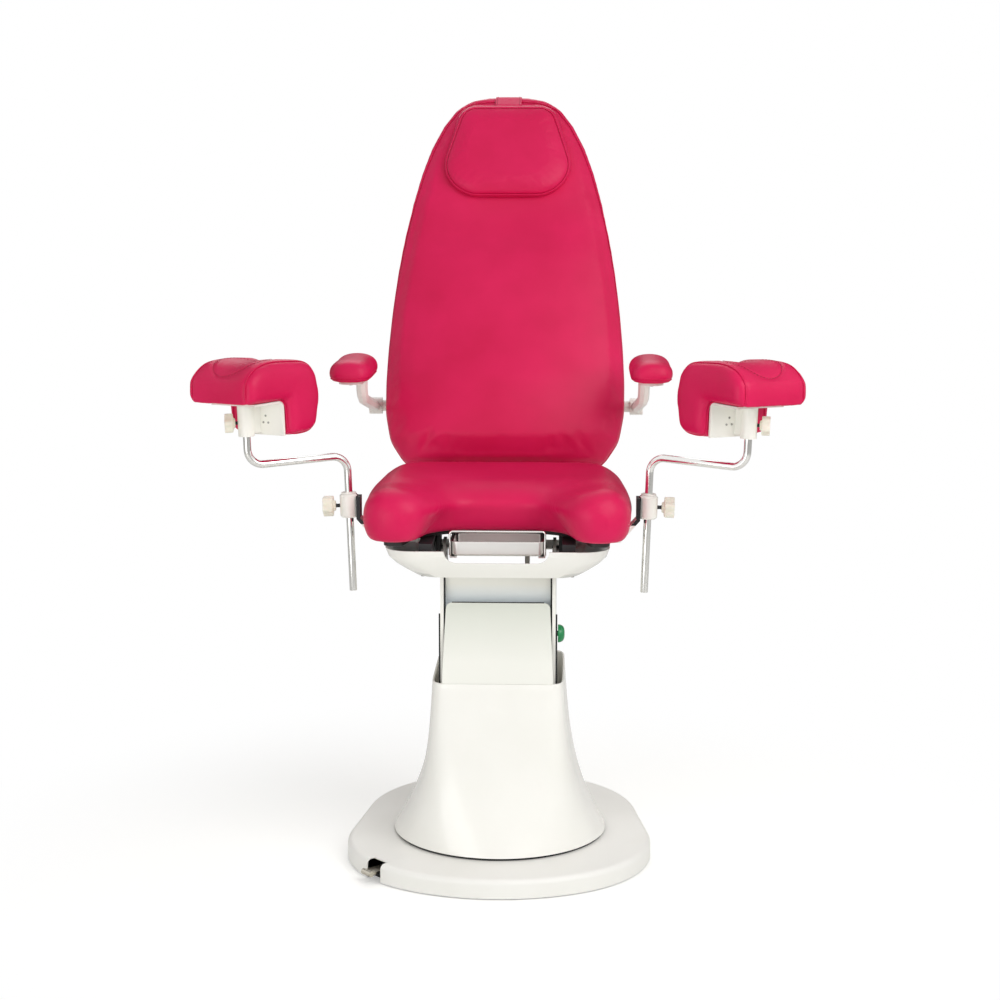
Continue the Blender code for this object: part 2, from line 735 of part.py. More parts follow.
def make_apron(frame, finish):
    low = SKIRT_TOP_Z + SEAT_GAP
    outline = rounded([
        (-APRON_BOTTOM_HALF_WIDTH, low, 0),
        (APRON_BOTTOM_HALF_WIDTH, low, 0),
        (APRON_TOP_HALF_WIDTH, apron_top_z, APRON_CORNER_RADIUS),
        (-APRON_TOP_HALF_WIDTH, apron_top_z, APRON_CORNER_RADIUS),
    ])
    apron = prism(outline, "XZ", 0, APRON_THICKNESS)
    bottom_front = SKIRT_TOP_HALF_Y - SEAT_GAP
    lean = (bottom_front - APRON_TOP_FRONT) / (apron_top_z - low)
    for vertex in apron.data.vertices:
        vertex.co.y += (vertex.co.z - low) * lean - bottom_front
    piece(apron, "front_apron", finish["white_enamel"], frame)


def make_mast(frame, finish):
    half = MAST_WIDTH / 2
    bore = half - MAST_WALL
    foot = MAST_FOOT / 2
    low = turntable_top + SEAT_GAP
    foot_top = low + MAST_FOOT_THICKNESS
    mast = box((-half, MAST_Y - half, low), (half, MAST_Y + half, MAST_TOP_Z))
    flange = box((-foot, MAST_Y - foot, low), (foot, MAST_Y + foot, foot_top))
    rear_of_flange = LIFT_Y - GEARBOX_DEPTH / 2 - RUN_GAP
    clear = box((-foot * 2, rear_of_flange, 0), (foot * 2, foot * 4, foot_top * 2))
    hollow = box((-bore, MAST_Y - bore, 0), (bore, MAST_Y + bore, 2 * MAST_TOP_Z))
    piece(cut(welded(mast, flange), clear, hollow), "guide_mast", finish["dark_steel"], frame)


def make_lift_actuator(frame, finish):
    low = turntable_top + SEAT_GAP
    half = GEARBOX_DEPTH / 2
    gearbox = box((-half, LIFT_Y - half, low), (MOTOR_OFFSET + half, LIFT_Y + half, low + GEARBOX_HEIGHT))
    outer = cylinder(LIFT_TUBE_RADIUS, (0, LIFT_Y, low + GEARBOX_HEIGHT / 2), (0, LIFT_Y, LIFT_TUBE_TOP_Z))
    motor_top = low + GEARBOX_HEIGHT + MOTOR_HEIGHT
    motor = cylinder(MOTOR_RADIUS, (MOTOR_OFFSET, LIFT_Y, low + GEARBOX_HEIGHT / 2),
                     (MOTOR_OFFSET, LIFT_Y, motor_top))
    bore = cylinder(LIFT_ROD_RADIUS + RUN_GAP, (0, LIFT_Y, LIFT_BORE_BOTTOM_Z), (0, LIFT_Y, 2 * LIFT_TUBE_TOP_Z))
    piece(cut(welded(gearbox, outer, motor), bore), "lift_actuator", finish["dark_plastic"], frame)


def make_turntable(frame, finish):
    inner_ring = turned([
        (BEARING_BORE_RADIUS, bearing_bottom + BEARING_STEP),
        (BEARING_TRACK_RADIUS, bearing_bottom + BEARING_STEP),
        (BEARING_TRACK_RADIUS, turntable_bottom - SEAT_GAP),
        (BEARING_BORE_RADIUS, turntable_bottom - SEAT_GAP),
    ], 48)
    piece(inner_ring, "bearing_inner_ring", finish["steel"], frame)
    plate = turned([
        (CABLE_HOLE_RADIUS, turntable_bottom),
        (turntable_radius, turntable_bottom),
        (turntable_radius, turntable_top),
        (CABLE_HOLE_RADIUS, turntable_top),
    ], 40)
    piece(plate, "turntable_plate", finish["dark_steel"], frame)
    make_skirt(frame, finish)
    make_apron(frame, finish)
    make_mast(frame, finish)
    make_lift_actuator(frame, finish)


# Lift carriage

def carriage_side():
    head = TILT_HEAD_RADIUS
    return rounded([
        (-CARRIAGE_FRONT, carriage_bottom_z, 0),
        (CARRIAGE_REAR, carriage_bottom_z, 0),
        (CARRIAGE_REAR, rear_panel_top_z + SIDE_PLATE, head),
        (head + SIDE_PLATE, carriage_shoulder_z - head / 2, head),
        (head, tilt_z + head, head * 0.8),
        (-head, tilt_z + head, head * 0.8),
        (-head - SIDE_PLATE, carriage_shoulder_z, SIDE_PLATE),
        (-CARRIAGE_FRONT, carriage_shoulder_z, SIDE_PLATE),
    ])


def make_lift_carriage(frame, finish):
    inner = carriage_inner
    overlap = SIDE_PLATE / 2
    body = prism(carriage_side(), "YZ", inner, CARRIAGE_HALF_WIDTH)
    other = prism(carriage_side(), "YZ", -CARRIAGE_HALF_WIDTH, -inner)
    rear = box((-inner - overlap, CARRIAGE_REAR - SIDE_PLATE, carriage_bottom_z + overlap),
               (inner + overlap, CARRIAGE_REAR - SEAT_GAP, rear_panel_top_z))
    bridge = box((-inner - overlap, MAST_Y - MAST_WIDTH / 2, bridge_z),
                 (inner + overlap, CARRIAGE_REAR - overlap, bridge_top))
    horn_top = tilt_rod_z + ROD_PIN_RADIUS + TILT_SLOP + TILT_HORN_THICKNESS
    horn = prism(rounded([
        (-TILT_HORN_HALF_LENGTH * 1.6, bridge_top - overlap, 0),
        (TILT_HORN_HALF_LENGTH * 1.6, bridge_top - overlap, 0),
        (TILT_HORN_HALF_LENGTH, horn_top, TILT_HORN_HALF_LENGTH),
        (-TILT_HORN_HALF_LENGTH, horn_top, TILT_HORN_HALF_LENGTH),
    ]), "YZ", TILT_HORN_X - TILT_HORN_THICKNESS / 2, TILT_HORN_X + TILT_HORN_THICKNESS / 2)
    body = welded(body, rear, other, bridge, horn)
    far = 2 * CARRIAGE_HALF_WIDTH
    for side in (-1, 1):
        body = cut(body, cylinder(TILT_PIN_RADIUS + SEAT_GAP, (side * (inner - SIDE_PLATE), 0, tilt_z),
                                  (side * far, 0, tilt_z)))
    pin_hole = cylinder(ROD_PIN_RADIUS + TILT_SLOP, (TILT_HORN_X - TILT_HORN_THICKNESS, 0, tilt_rod_z),
                        (TILT_HORN_X + TILT_HORN_THICKNESS, 0, tilt_rod_z), SMALL_ROUND)
    stem_hole = cylinder(BUTTON_STEM_RADIUS + RUN_GAP, (inner - SIDE_PLATE, BUTTON_Y, button_z),
                         (far, BUTTON_Y, button_z), SMALL_ROUND)
    piece(cut(body, pin_hole, stem_hole), "lift_carriage", finish["white_enamel"], frame)

    half = carriage_inner - SEAT_GAP
    path = [
        (FRONT_PANEL_SETBACK - CARRIAGE_FRONT, carriage_bottom_z),
        (FRONT_PANEL_SETBACK - CARRIAGE_FRONT, front_panel_kink_z),
        (FRONT_PANEL_TOP_SETBACK - CARRIAGE_FRONT, front_panel_top_z),
    ]
    panel = prism(strap(path, FRONT_PANEL_SHEET / 2), "YZ", -half, half)
    piece(panel, "carriage_front_panel", finish["blue_grey_enamel"], frame)


def make_guide_sleeve(frame, finish):
    inner = MAST_WIDTH / 2 + RUN_GAP
    outer = inner + SLEEVE_WALL
    top = SLEEVE_BOTTOM_Z + SLEEVE_HEIGHT
    sleeve = box((-outer, MAST_Y - outer, SLEEVE_BOTTOM_Z), (outer, MAST_Y + outer, top))
    wing_end = carriage_inner - SEAT_GAP
    wings = box((-wing_end, MAST_Y - SLEEVE_WING / 2, SLEEVE_BOTTOM_Z + SLEEVE_WALL),
                (wing_end, MAST_Y + SLEEVE_WING / 2, top - SLEEVE_WALL))
    hollow = box((-inner, MAST_Y - inner, 0), (inner, MAST_Y + inner, 2 * top))
    piece(cut(welded(sleeve, wings), hollow), "guide_sleeve", finish["dark_steel"], frame)
    rod = cylinder(LIFT_ROD_RADIUS, (0, LIFT_Y, LIFT_ROD_BOTTOM_Z), (0, LIFT_Y, bridge_z - SEAT_GAP))
    piece(rod, "lift_rod", finish["steel"], frame)


def make_tilt_pins(frame, finish):
    inner_end = carriage_inner - SLIDE_GAP
    outer_end = rail_inner + RAIL_WIDTH / 3
    for side, name in ((-1, "left"), (1, "right")):
        pin = cylinder(TILT_PIN_RADIUS, (side * inner_end, 0, tilt_z), (side * outer_end, 0, tilt_z))
        piece(pin, "tilt_pin_" + name, finish["steel"], frame)


def make_button(carriage, finish):
    face = CARRIAGE_HALF_WIDTH + SEAT_GAP
    frame = axis_frame("button_axis", carriage, (face, BUTTON_Y, button_z), (0, math.radians(90), 0))
    bore = BUTTON_STEM_RADIUS + RUN_GAP
    bezel = turned([
        (bore, 0),
        (BEZEL_RADIUS, 0),
        (BEZEL_RADIUS, BEZEL_HEIGHT * 0.6),
        (BEZEL_RADIUS - BEZEL_HEIGHT * 0.4, BEZEL_HEIGHT),
        (bore, BEZEL_HEIGHT),
    ])
    moved(bezel, frame.matrix_world)
    piece(bezel, "button_bezel", finish["dark_plastic"], carriage)
    start = BEZEL_HEIGHT + BUTTON_TRAVEL + SEAT_GAP
    profile = [(BUTTON_RADIUS, start)]
    for step in range(4):
        angle = math.radians(80) * step / 3
        profile.append((BUTTON_RADIUS * math.cos(angle), start + BUTTON_HEIGHT * (0.3 + 0.7 * math.sin(angle))))
    stem = cylinder(BUTTON_STEM_RADIUS, (0, 0, -SIDE_PLATE), (0, 0, start + BUTTON_HEIGHT / 2), SMALL_ROUND)
    piece(welded(drum(profile), stem), "green_button", finish["green_plastic"], frame, local=True)


def make_carriage(frame, finish):
    make_lift_carriage(frame, finish)
    make_guide_sleeve(frame, finish)
    make_tilt_pins(frame, finish)
    make_button(frame, finish)


# Seat

def seat_outline():
    lobe_inner = SEAT_HALF_WIDTH - SEAT_LOBE_WIDTH
    return mirrored([
        (lobe_inner - SEAT_LOBE_SLANT, SEAT_CUTOUT_Y, SEAT_CORNER_RADIUS),
        (lobe_inner, -SEAT_FRONT, SEAT_CORNER_RADIUS * 0.55),
        (SEAT_HALF_WIDTH - 0.006, -SEAT_FRONT, SEAT_CORNER_RADIUS),
        (SEAT_HALF_WIDTH + 0.003, SEAT_CUTOUT_Y / 2, SEAT_FRONT),
        (SEAT_HALF_WIDTH - 0.014, SEAT_REAR, SEAT_CORNER_RADIUS),
    ])


def make_seat_soft(frame, finish):
    outline = seat_outline()
    low = SEAT_UNDERSIDE_Z
    roll = SEAT_ROLL
    levels = [
        (roll * 0.80, low),
        (roll * 0.40, low + SEAT_THICKNESS * 0.07),
        (roll * 0.10, low + SEAT_THICKNESS * 0.24),
        (0, low + SEAT_THICKNESS * 0.46),
        (roll * 0.08, low + SEAT_THICKNESS * 0.64),
        (roll * 0.34, low + SEAT_THICKNESS * 0.82),
        (roll * 0.78, low + SEAT_THICKNESS * 0.94),
        (roll * 1.30, low + SEAT_THICKNESS),
    ]
    piece(stacked(outline, levels), "seat_cushion", finish["pink_vinyl"], frame)
    board = prism(inset(outline, SEAT_BOARD_INSET), "XY", board_bottom, board_bottom + SEAT_BOARD_THICKNESS)
    piece(board, "seat_board", finish["black_board"], frame)


def make_rail(side, name, frame, finish):
    lug_top = back_hinge_z + HINGE_LUG_RADIUS
    lug_front = BACK_HINGE_Y - HINGE_LUG_RADIUS
    lug_rear = BACK_HINGE_Y + HINGE_LUG_RADIUS
    profile = rounded([
        (-RAIL_FRONT, rail_bottom, HINGE_LUG_RADIUS),
        (lug_rear, rail_bottom, HINGE_LUG_RADIUS),
        (lug_rear, lug_top, HINGE_LUG_RADIUS),
        (lug_front, lug_top, HINGE_LUG_RADIUS),
        (lug_front, rail_top, 0),
        (-RAIL_FRONT, rail_top, 0),
    ])
    ends = sorted((side * rail_inner, side * rail_outer))
    rail = prism(profile, "YZ", *ends)
    ear_low = tilt_z - TILT_PIN_RADIUS - TILT_EAR
    ear_half = TILT_PIN_RADIUS + TILT_EAR
    ear = rounded([
        (-ear_half * 1.5, rail_top - SEAT_GAP, 0),
        (-ear_half, ear_low, ear_half),
        (ear_half, ear_low, ear_half),
        (ear_half * 1.5, rail_top - SEAT_GAP, 0),
    ])
    ear_ends = sorted((side * (rail_inner - TILT_EAR), side * (rail_inner + TILT_EAR / 2)))
    rail = welded(rail, prism(ear, "YZ", *ear_ends))
    far = 2 * rail_outer
    pin_hole = cylinder(TILT_PIN_RADIUS + RUN_GAP, (side * carriage_inner, 0, tilt_z),
                        (side * (rail_inner + RAIL_WIDTH / 3 + SLIDE_GAP), 0, tilt_z))
    shaft_hole = cylinder(HINGE_SHAFT_RADIUS + SEAT_GAP, (0, BACK_HINGE_Y, back_hinge_z),
                          (side * far, BACK_HINGE_Y, back_hinge_z))
    piece(cut(rail, pin_hole, shaft_hole), "seat_rail_" + name, finish["dark_steel"], frame)


def make_seat_frame(frame, finish):
    for side, name in ((-1, "left"), (1, "right")):
        make_rail(side, name, frame, finish)
    reach = rail_inner - SEAT_GAP
    for name, y, height in (("front", CROSS_FRONT_Y, CROSS_FRONT_HEIGHT), ("rear", CROSS_REAR_Y, CROSS_REAR_HEIGHT)):
        member = box((-reach, y - CROSS_WIDTH / 2, rail_top - height), (reach, y + CROSS_WIDTH / 2, rail_top))
        piece(member, name + "_cross_member", finish["dark_steel"], frame)
    shaft = cylinder(HINGE_SHAFT_RADIUS, (-rail_outer, BACK_HINGE_Y, back_hinge_z),
                     (rail_outer, BACK_HINGE_Y, back_hinge_z))
    piece(shaft, "back_hinge_shaft", finish["steel"], frame)


def pan_loop(half_width, front, rear, z, shrink=0.0):
    outline = mirrored([
        (half_width, -front, PAN_CORNER_RADIUS),
        (half_width, rear, PAN_CORNER_RADIUS / 2),
    ])
    return [(x, y, z) for x, y in inset(outline, shrink)]


def make_under_pan(frame, finish):
    def section(share, shrink, z):
        bulge = math.sin(share * math.pi / 2)
        half_width = PAN_BOTTOM_HALF_WIDTH + (PAN_TOP_HALF_WIDTH - PAN_BOTTOM_HALF_WIDTH) * bulge
        front = PAN_BOTTOM_FRONT + (PAN_TOP_FRONT - PAN_BOTTOM_FRONT) * bulge
        rear = PAN_BOTTOM_REAR + (PAN_TOP_REAR - PAN_BOTTOM_REAR) * bulge
        return pan_loop(half_width, front, rear, z, shrink)

    height = pan_top_z - pan_bottom_z
    shares = [0.0, 0.2, 0.45, 0.7, 1.0]
    outer = [section(share, 0, pan_bottom_z + height * share) for share in shares]
    floor = pan_bottom_z + PAN_WALL
    inner_shares = [share for share in shares[::-1] if height * share > PAN_WALL]
    inner = [section(share, PAN_WALL, pan_bottom_z + height * share) for share in inner_shares]
    inner.append(section(PAN_WALL / height, PAN_WALL, floor))
    pan = loft(outer + inner)

    opening_half = rail_inner + PAN_OPENING_MARGIN
    opening = box((-opening_half, -PAN_OPENING_FRONT, 0), (opening_half, PAN_OPENING_REAR, floor + PAN_WALL))
    recess_half = BASIN_HALF_WIDTH + PAN_RECESS_MARGIN
    recess = prism(rounded([
        (-recess_half, pan_recess_z, PAN_RECESS_MARGIN),
        (recess_half, pan_recess_z, PAN_RECESS_MARGIN),
        (recess_half + PAN_RECESS_MARGIN, 2 * pan_top_z, 0),
        (-recess_half - PAN_RECESS_MARGIN, 2 * pan_top_z, 0),
    ]), "XZ", -2 * PAN_TOP_FRONT, -PAN_BOTTOM_FRONT * 0.8)
    rear_cut = box((-PAN_TOP_HALF_WIDTH * 0.85, PAN_BOTTOM_REAR * 0.8, pan_rear_z),
                   (PAN_TOP_HALF_WIDTH * 0.85, 2 * PAN_TOP_REAR, 2 * pan_top_z))
    pan = cut(pan, opening, recess, rear_cut)
    for side in (-1, 1):
        for y in (PAN_POST_RADIUS - PAN_BOTTOM_FRONT * 0.92, CROSS_FRONT_Y):
            x = side * (rail_inner + rail_outer) / 2
            post = cylinder(PAN_POST_RADIUS, (x, y, pan_bottom_z + PAN_WALL / 2), (x, y, rail_bottom - SEAT_GAP),
                            SMALL_ROUND)
            pan = welded(pan, post)
    piece(pan, "under_pan", finish["white_plastic"], frame)


def make_basin(seat, finish):
    side_x = BASIN_HALF_WIDTH + RUN_GAP
    top = rail_top
    for side, name in ((-1, "left"), (1, "right")):
        profile = [
            (side * (side_x + RUNNER_SHEET), runner_bottom),
            (side * (side_x + RUNNER_SHEET), top),
            (side * side_x, top),
            (side * side_x, runner_bottom + RUNNER_SHEET),
            (side * (side_x - RUNNER_LIP), runner_bottom + RUNNER_SHEET),
            (side * (side_x - RUNNER_LIP), runner_bottom),
        ]
        runner = prism([Vector(point) for point in profile], "XZ", -BASIN_FRONT, -BASIN_REAR)
        piece(runner, "basin_runner_" + name, finish["chrome"], seat)

    frame = axis_frame("basin_axis", seat)
    low = runner_bottom + RUNNER_SHEET + SEAT_GAP
    high = low + BASIN_HEIGHT
    outline = rounded([
        (-BASIN_HALF_WIDTH, -BASIN_FRONT, 0.012),
        (BASIN_HALF_WIDTH, -BASIN_FRONT, 0.012),
        (BASIN_HALF_WIDTH, -BASIN_REAR, 0.012),
        (-BASIN_HALF_WIDTH, -BASIN_REAR, 0.012),
    ])
    wall = BASIN_WALL
    draft = 0.004
    levels = [
        (draft, low), (0, low + draft), (0, high),
        (BASIN_RIM, high), (BASIN_RIM, high - wall), (wall * 2, high - wall * 3),
        (wall * 2, low + draft + wall), (draft + wall, low + wall),
    ]
    piece(stacked(outline, levels), "drip_basin", finish["stainless"], frame)


def make_tilt_actuator(seat, finish):
    rear = CROSS_REAR_Y - CROSS_WIDTH / 2 - SEAT_GAP
    front = CROSS_FRONT_Y + CROSS_WIDTH / 2 + SLIDE_GAP
    body = cylinder(TILT_ACTUATOR_RADIUS, (tilt_rod_x, front, tilt_rod_z), (tilt_rod_x, rear, tilt_rod_z))
    bore = cylinder(TILT_ROD_RADIUS + RUN_GAP, (tilt_rod_x, front * 0.5, tilt_rod_z),
                    (tilt_rod_x, rear - BORE_END_WALL, tilt_rod_z), SMALL_ROUND)
    piece(cut(body, bore), "tilt_actuator", finish["dark_plastic"], seat)

    frame = axis_frame("tilt_rod_axis", seat)
    rod_end = -TILT_ROD_RADIUS
    rod = cylinder(TILT_ROD_RADIUS, (tilt_rod_x, rod_end, tilt_rod_z),
                   (tilt_rod_x, rear - 2 * BORE_END_WALL, tilt_rod_z), SMALL_ROUND)
    pin = cylinder(ROD_PIN_RADIUS, (tilt_rod_x, 0, tilt_rod_z),
                   (TILT_HORN_X - TILT_HORN_THICKNESS / 2 - SLIDE_GAP, 0, tilt_rod_z), SMALL_ROUND)
    piece(welded(rod, pin), "tilt_rod", finish["steel"], frame)


def make_back_actuator(seat, finish):
    x = BACK_ACTUATOR_X
    z = back_rod_z
    body = cylinder(BACK_ACTUATOR_RADIUS, (x, BACK_ACTUATOR_FRONT_Y, z), (x, BACK_ACTUATOR_REAR_Y, z))
    hanger_half = BACK_ACTUATOR_RADIUS * 0.7
    hanger = box((x - hanger_half, CROSS_FRONT_Y - CROSS_WIDTH / 2, z),
                 (x + hanger_half, CROSS_FRONT_Y + CROSS_WIDTH / 2, rail_top - CROSS_FRONT_HEIGHT - SEAT_GAP))
    bore = cylinder(BACK_ROD_RADIUS + RUN_GAP, (x, BACK_ACTUATOR_FRONT_Y + BORE_END_WALL, z),
                    (x, 2 * BACK_ACTUATOR_REAR_Y, z), SMALL_ROUND)
    piece(cut(welded(body, hanger), bore), "back_actuator", finish["dark_plastic"], seat)

    frame = axis_frame("back_rod_axis", seat)
    pin_y = BACK_HINGE_Y + LEVER_SLOT_START * math.tan(LEVER_REST)
    stroke = 2 * LEVER_SLOT_START * math.tan(LEVER_REST)
    inner_end = BACK_ACTUATOR_FRONT_Y + BORE_END_WALL + stroke + SLIDE_GAP
    fork_gap = BACK_LUG_THICKNESS / 2 + SLIDE_GAP
    fork_half = fork_gap + BACK_ROD_RADIUS
    yoke_y = pin_y - LEVER_LENGTH * 0.42
    rod = cylinder(BACK_ROD_RADIUS, (x, inner_end, z), (x, yoke_y, z), SMALL_ROUND)
    fork = box((x - fork_half, yoke_y - BACK_ROD_RADIUS, z - BACK_ROD_RADIUS),
               (x + fork_half, pin_y + BACK_ROD_RADIUS, z + BACK_ROD_RADIUS))
    gap = box((x - fork_gap, yoke_y, z - 2 * BACK_ROD_RADIUS),
              (x + fork_gap, pin_y + 2 * BACK_ROD_RADIUS, z + 2 * BACK_ROD_RADIUS))
    pin = cylinder(ROD_PIN_RADIUS, (x - fork_half + SEAT_GAP, pin_y, z), (x + fork_half - SEAT_GAP, pin_y, z),
                   SMALL_ROUND)
    piece(welded(cut(welded(rod, fork), gap), pin), "back_rod", finish["steel"], frame)


def make_seat(frame, finish):
    make_seat_frame(frame, finish)
    make_under_pan(frame, finish)
    make_seat_soft(frame, finish)
    make_basin(frame, finish)
    make_tilt_actuator(frame, finish)
    make_back_actuator(frame, finish)


# Backrest: local X across, Y to the rear, Z up along the back from the hinge

def back_half_width(s):
    """Half width of the bullet outline at height s above the hinge."""
    if s < BACK_WAIST_S:
        share = (BACK_WAIST_S - s) / (BACK_WAIST_S - BACK_BOTTOM)
        return BACK_HALF_WIDTH - (BACK_HALF_WIDTH - BACK_BOTTOM_HALF_WIDTH) * share ** 4
    share = (s - BACK_WAIST_S) / (BACK_TOP - BACK_WAIST_S)
    return BACK_HALF_WIDTH * (1 - share ** 1.47) ** 0.30


def back_stations():
    span = BACK_TOP - BACK_BOTTOM
    shares = [0.004, 0.03, 0.08, 0.15, 0.23, 0.32, 0.42, 0.52, 0.62, 0.71, 0.79, 0.86, 0.92, 0.96, 0.985, 0.997]
    return [BACK_BOTTOM + span * share for share in shares]


def back_lean(s):
    """How far the padded face stands forward of its mean plane: lumbar swell and neck hollow."""
    share = (s - BACK_BOTTOM) / (BACK_TOP - BACK_BOTTOM)
    return BACK_SWELL * math.sin(2 * math.pi * share ** 0.7)


def back_end_share(s):
    """Drops from 1 to 0 over the rounded top and bottom edges."""
    edge = BACK_THICKNESS * 0.55
    away = min(s - BACK_BOTTOM, BACK_TOP - s)
    if away >= edge:
        return 1.0
    return math.sqrt(max(0.0, 1 - (1 - away / edge) ** 2))


def back_thickness(s):
    share = max(0.0, (s - BACK_WAIST_S) / (BACK_TOP - BACK_WAIST_S))
    return BACK_THICKNESS - (BACK_THICKNESS - BACK_TOP_THICKNESS) * share ** 1.5


def cushion_loop(half_width, rear, front, s, points=24, squareness=3.6):
    loop = []
    middle = (rear + front) / 2
    half_depth = (rear - front) / 2
    for step in range(points):
        angle = 2 * math.pi * (step + 0.5) / points
        x = math.copysign(abs(math.cos(angle)) ** (2 / squareness), math.cos(angle))
        y = math.copysign(abs(math.sin(angle)) ** (2 / squareness), math.sin(angle))
        loop.append((half_width * x, middle + half_depth * y, s))
    return loop


def back_front(s):
    return back_rear - back_thickness(s) - back_lean(s) * back_end_share(s)


def padded_face(s):
    """Front of the padded back on its centre line, with its rounded ends."""
    return back_rear - (back_rear - back_front(s)) * (0.35 + 0.65 * back_end_share(s))


def padded_face_between(s):
    """The same, straight between the stations as the solid is."""
    stations = back_stations()
    for low, high in zip(stations, stations[1:]):
        if low <= s <= high:
            share = (s - low) / (high - low)
            return padded_face(low) * (1 - share) + padded_face(high) * share
    return padded_face(stations[-1])


def back_inset(distance):
    """Half widths and heights of the bullet outline drawn in on all sides."""
    span = BACK_TOP - BACK_BOTTOM
    shrunk = []
    for s in back_stations():
        share = (s - BACK_BOTTOM) / span
        shrunk.append((back_half_width(s) - distance, BACK_BOTTOM + distance + share * (span - 2 * distance)))
    return shrunk


def make_back_soft(frame, finish):
    loops = []
    for s in back_stations():
        loops.append(cushion_loop(back_half_width(s), back_rear, padded_face(s), s))
    piece(loft(loops), "backrest_cushion", finish["pink_vinyl"], frame, local=True)

    board = []
    for half, s in back_inset(BACK_BOARD_INSET):
        board.append([(half, board_front, s), (half, board_rear, s), (-half, board_rear, s), (-half, board_front, s)])
    piece(loft(board), "back_board", finish["black_board"], frame, local=True)
    make_back_shell(back_inset(BACK_SHELL_INSET), frame, finish)


def shell_depth(s):
    """Depth of the rear shell, drawn in towards its top."""
    edge = BACK_SHELL_DEPTH * 1.4
    away = BACK_TOP - BACK_SHELL_INSET - s
    if away >= edge:
        return BACK_SHELL_DEPTH
    return BACK_SHELL_DEPTH * (0.4 + 0.6 * math.sqrt(max(0.0, 1 - (1 - away / edge) ** 2)))


def shell_loop(half, s, shrink):
    front = board_rear + SEAT_GAP
    rear = front + shell_depth(s) - shrink
    half = half - shrink
    points = [(half, front, s), (half, front + (rear - front) * 0.45, s)]
    for step in range(1, 5):
        angle = math.radians(90) * step / 4
        x = half - (rear - front) * 0.9 * (1 - math.cos(angle))
        points.append((x, front + (rear - front) * (0.45 + 0.55 * math.sin(angle)), s))
    return points + [(-x, y, z) for x, y, z in points[::-1]]


def make_back_shell(stations, frame, finish):
    wall = BACK_SHELL_WALL
    low = stations[0][1]
    high = stations[-1][1]
    shell = loft([shell_loop(half, s, 0) for half, s in stations])
    inner = [(half, min(max(s, low + wall), high - wall)) for half, s in stations]
    hollow = loft([shell_loop(half, s, wall) for half, s in inner])
    for vertex in hollow.data.vertices:
        if vertex.co.y < board_rear + 2 * SEAT_GAP:
            vertex.co.y -= wall
    half_mouth = BACK_LUG_X + BACK_LUG_THICKNESS
    mouth = box((-half_mouth, 0, -low), (half_mouth, 2 * BACK_SHELL_DEPTH + board_rear, low + 2 * wall))
    tube_hole = cylinder(ARM_TUBE_RADIUS + SEAT_GAP, (-2 * BACK_HALF_WIDTH, lug_centre, ARM_PIVOT_S),
                         (2 * BACK_HALF_WIDTH, lug_centre, ARM_PIVOT_S))
    piece(cut(shell, hollow, mouth, tube_hole), "back_shell", finish["white_plastic"], frame, local=True)


def make_back_frame(frame, finish):
    half_tube = rail_inner - 2 * SLIDE_GAP
    body = cylinder(hinge_tube_radius, (-half_tube, 0, 0), (half_tube, 0, 0))
    path = [(0, 0), (lug_centre, BACK_BOTTOM / 2), (lug_centre, BACK_LUG_TOP)]
    lug = strap(path, BACK_LUG_WIDTH / 2)
    half = BACK_LUG_THICKNESS / 2
    for x in (-BACK_LUG_X, BACK_LUG_X):
        body = welded(body, prism(lug, "YZ", x - half, x + half))
    cross = cylinder(ARM_TUBE_RADIUS, (-ARM_HUB_X - ARM_HUB_LENGTH / 2, lug_centre, ARM_PIVOT_S),
                     (ARM_HUB_X + ARM_HUB_LENGTH / 2, lug_centre, ARM_PIVOT_S))
    lever_angle = BACK_TILT + LEVER_REST - math.radians(90)
    aim = Vector((math.cos(lever_angle), math.sin(lever_angle)))
    lever = prism(strap([(0, 0), aim * LEVER_LENGTH], BACK_LUG_WIDTH / 2), "YZ",
                  BACK_ACTUATOR_X - half, BACK_ACTUATOR_X + half)
    body = welded(body, cross, lever)
    slot_half = ROD_PIN_RADIUS + LEVER_SLOP
    slot = prism(strap([aim * (LEVER_SLOT_START - slot_half), aim * (LEVER_SLOT_END + slot_half)], slot_half), "YZ",
                 BACK_ACTUATOR_X - BACK_LUG_THICKNESS, BACK_ACTUATOR_X + BACK_LUG_THICKNESS)
    bore = cylinder(HINGE_SHAFT_RADIUS + RUN_GAP, (-2 * half_tube, 0, 0), (2 * half_tube, 0, 0))
    piece(cut(body, slot, bore), "back_frame", finish["white_enamel"], frame, local=True)


def make_headrest(back, finish):
    frame = axis_frame("headrest_axis", back)
    outline = mirrored([
        (HEAD_FOOT_HALF_WIDTH, -HEAD_HEIGHT / 2, HEAD_HEIGHT * 0.36),
        (HEAD_HALF_WIDTH, -HEAD_HEIGHT * 0.23, HEAD_HEIGHT * 0.32),
        (HEAD_TOP_HALF_WIDTH, HEAD_HEIGHT / 2, HEAD_HEIGHT * 0.22),
    ])
    levels = [(HEAD_ROLL * 0.1, 0), (0, HEAD_THICKNESS * 0.25), (HEAD_ROLL * 0.08, HEAD_THICKNESS * 0.5),
              (HEAD_ROLL * 0.3, HEAD_THICKNESS * 0.76), (HEAD_ROLL * 0.65, HEAD_THICKNESS * 0.93),
              (HEAD_ROLL, HEAD_THICKNESS)]
    pad = stacked(outline, levels)
    for vertex in pad.data.vertices:
        x, up, out = vertex.co
        vertex.co = (x, headrest_rear(up) - out, head_centre_s + up)
    piece(pad, "headrest_pad", finish["pink_vinyl"], frame, local=True)
    make_strap(frame, finish)


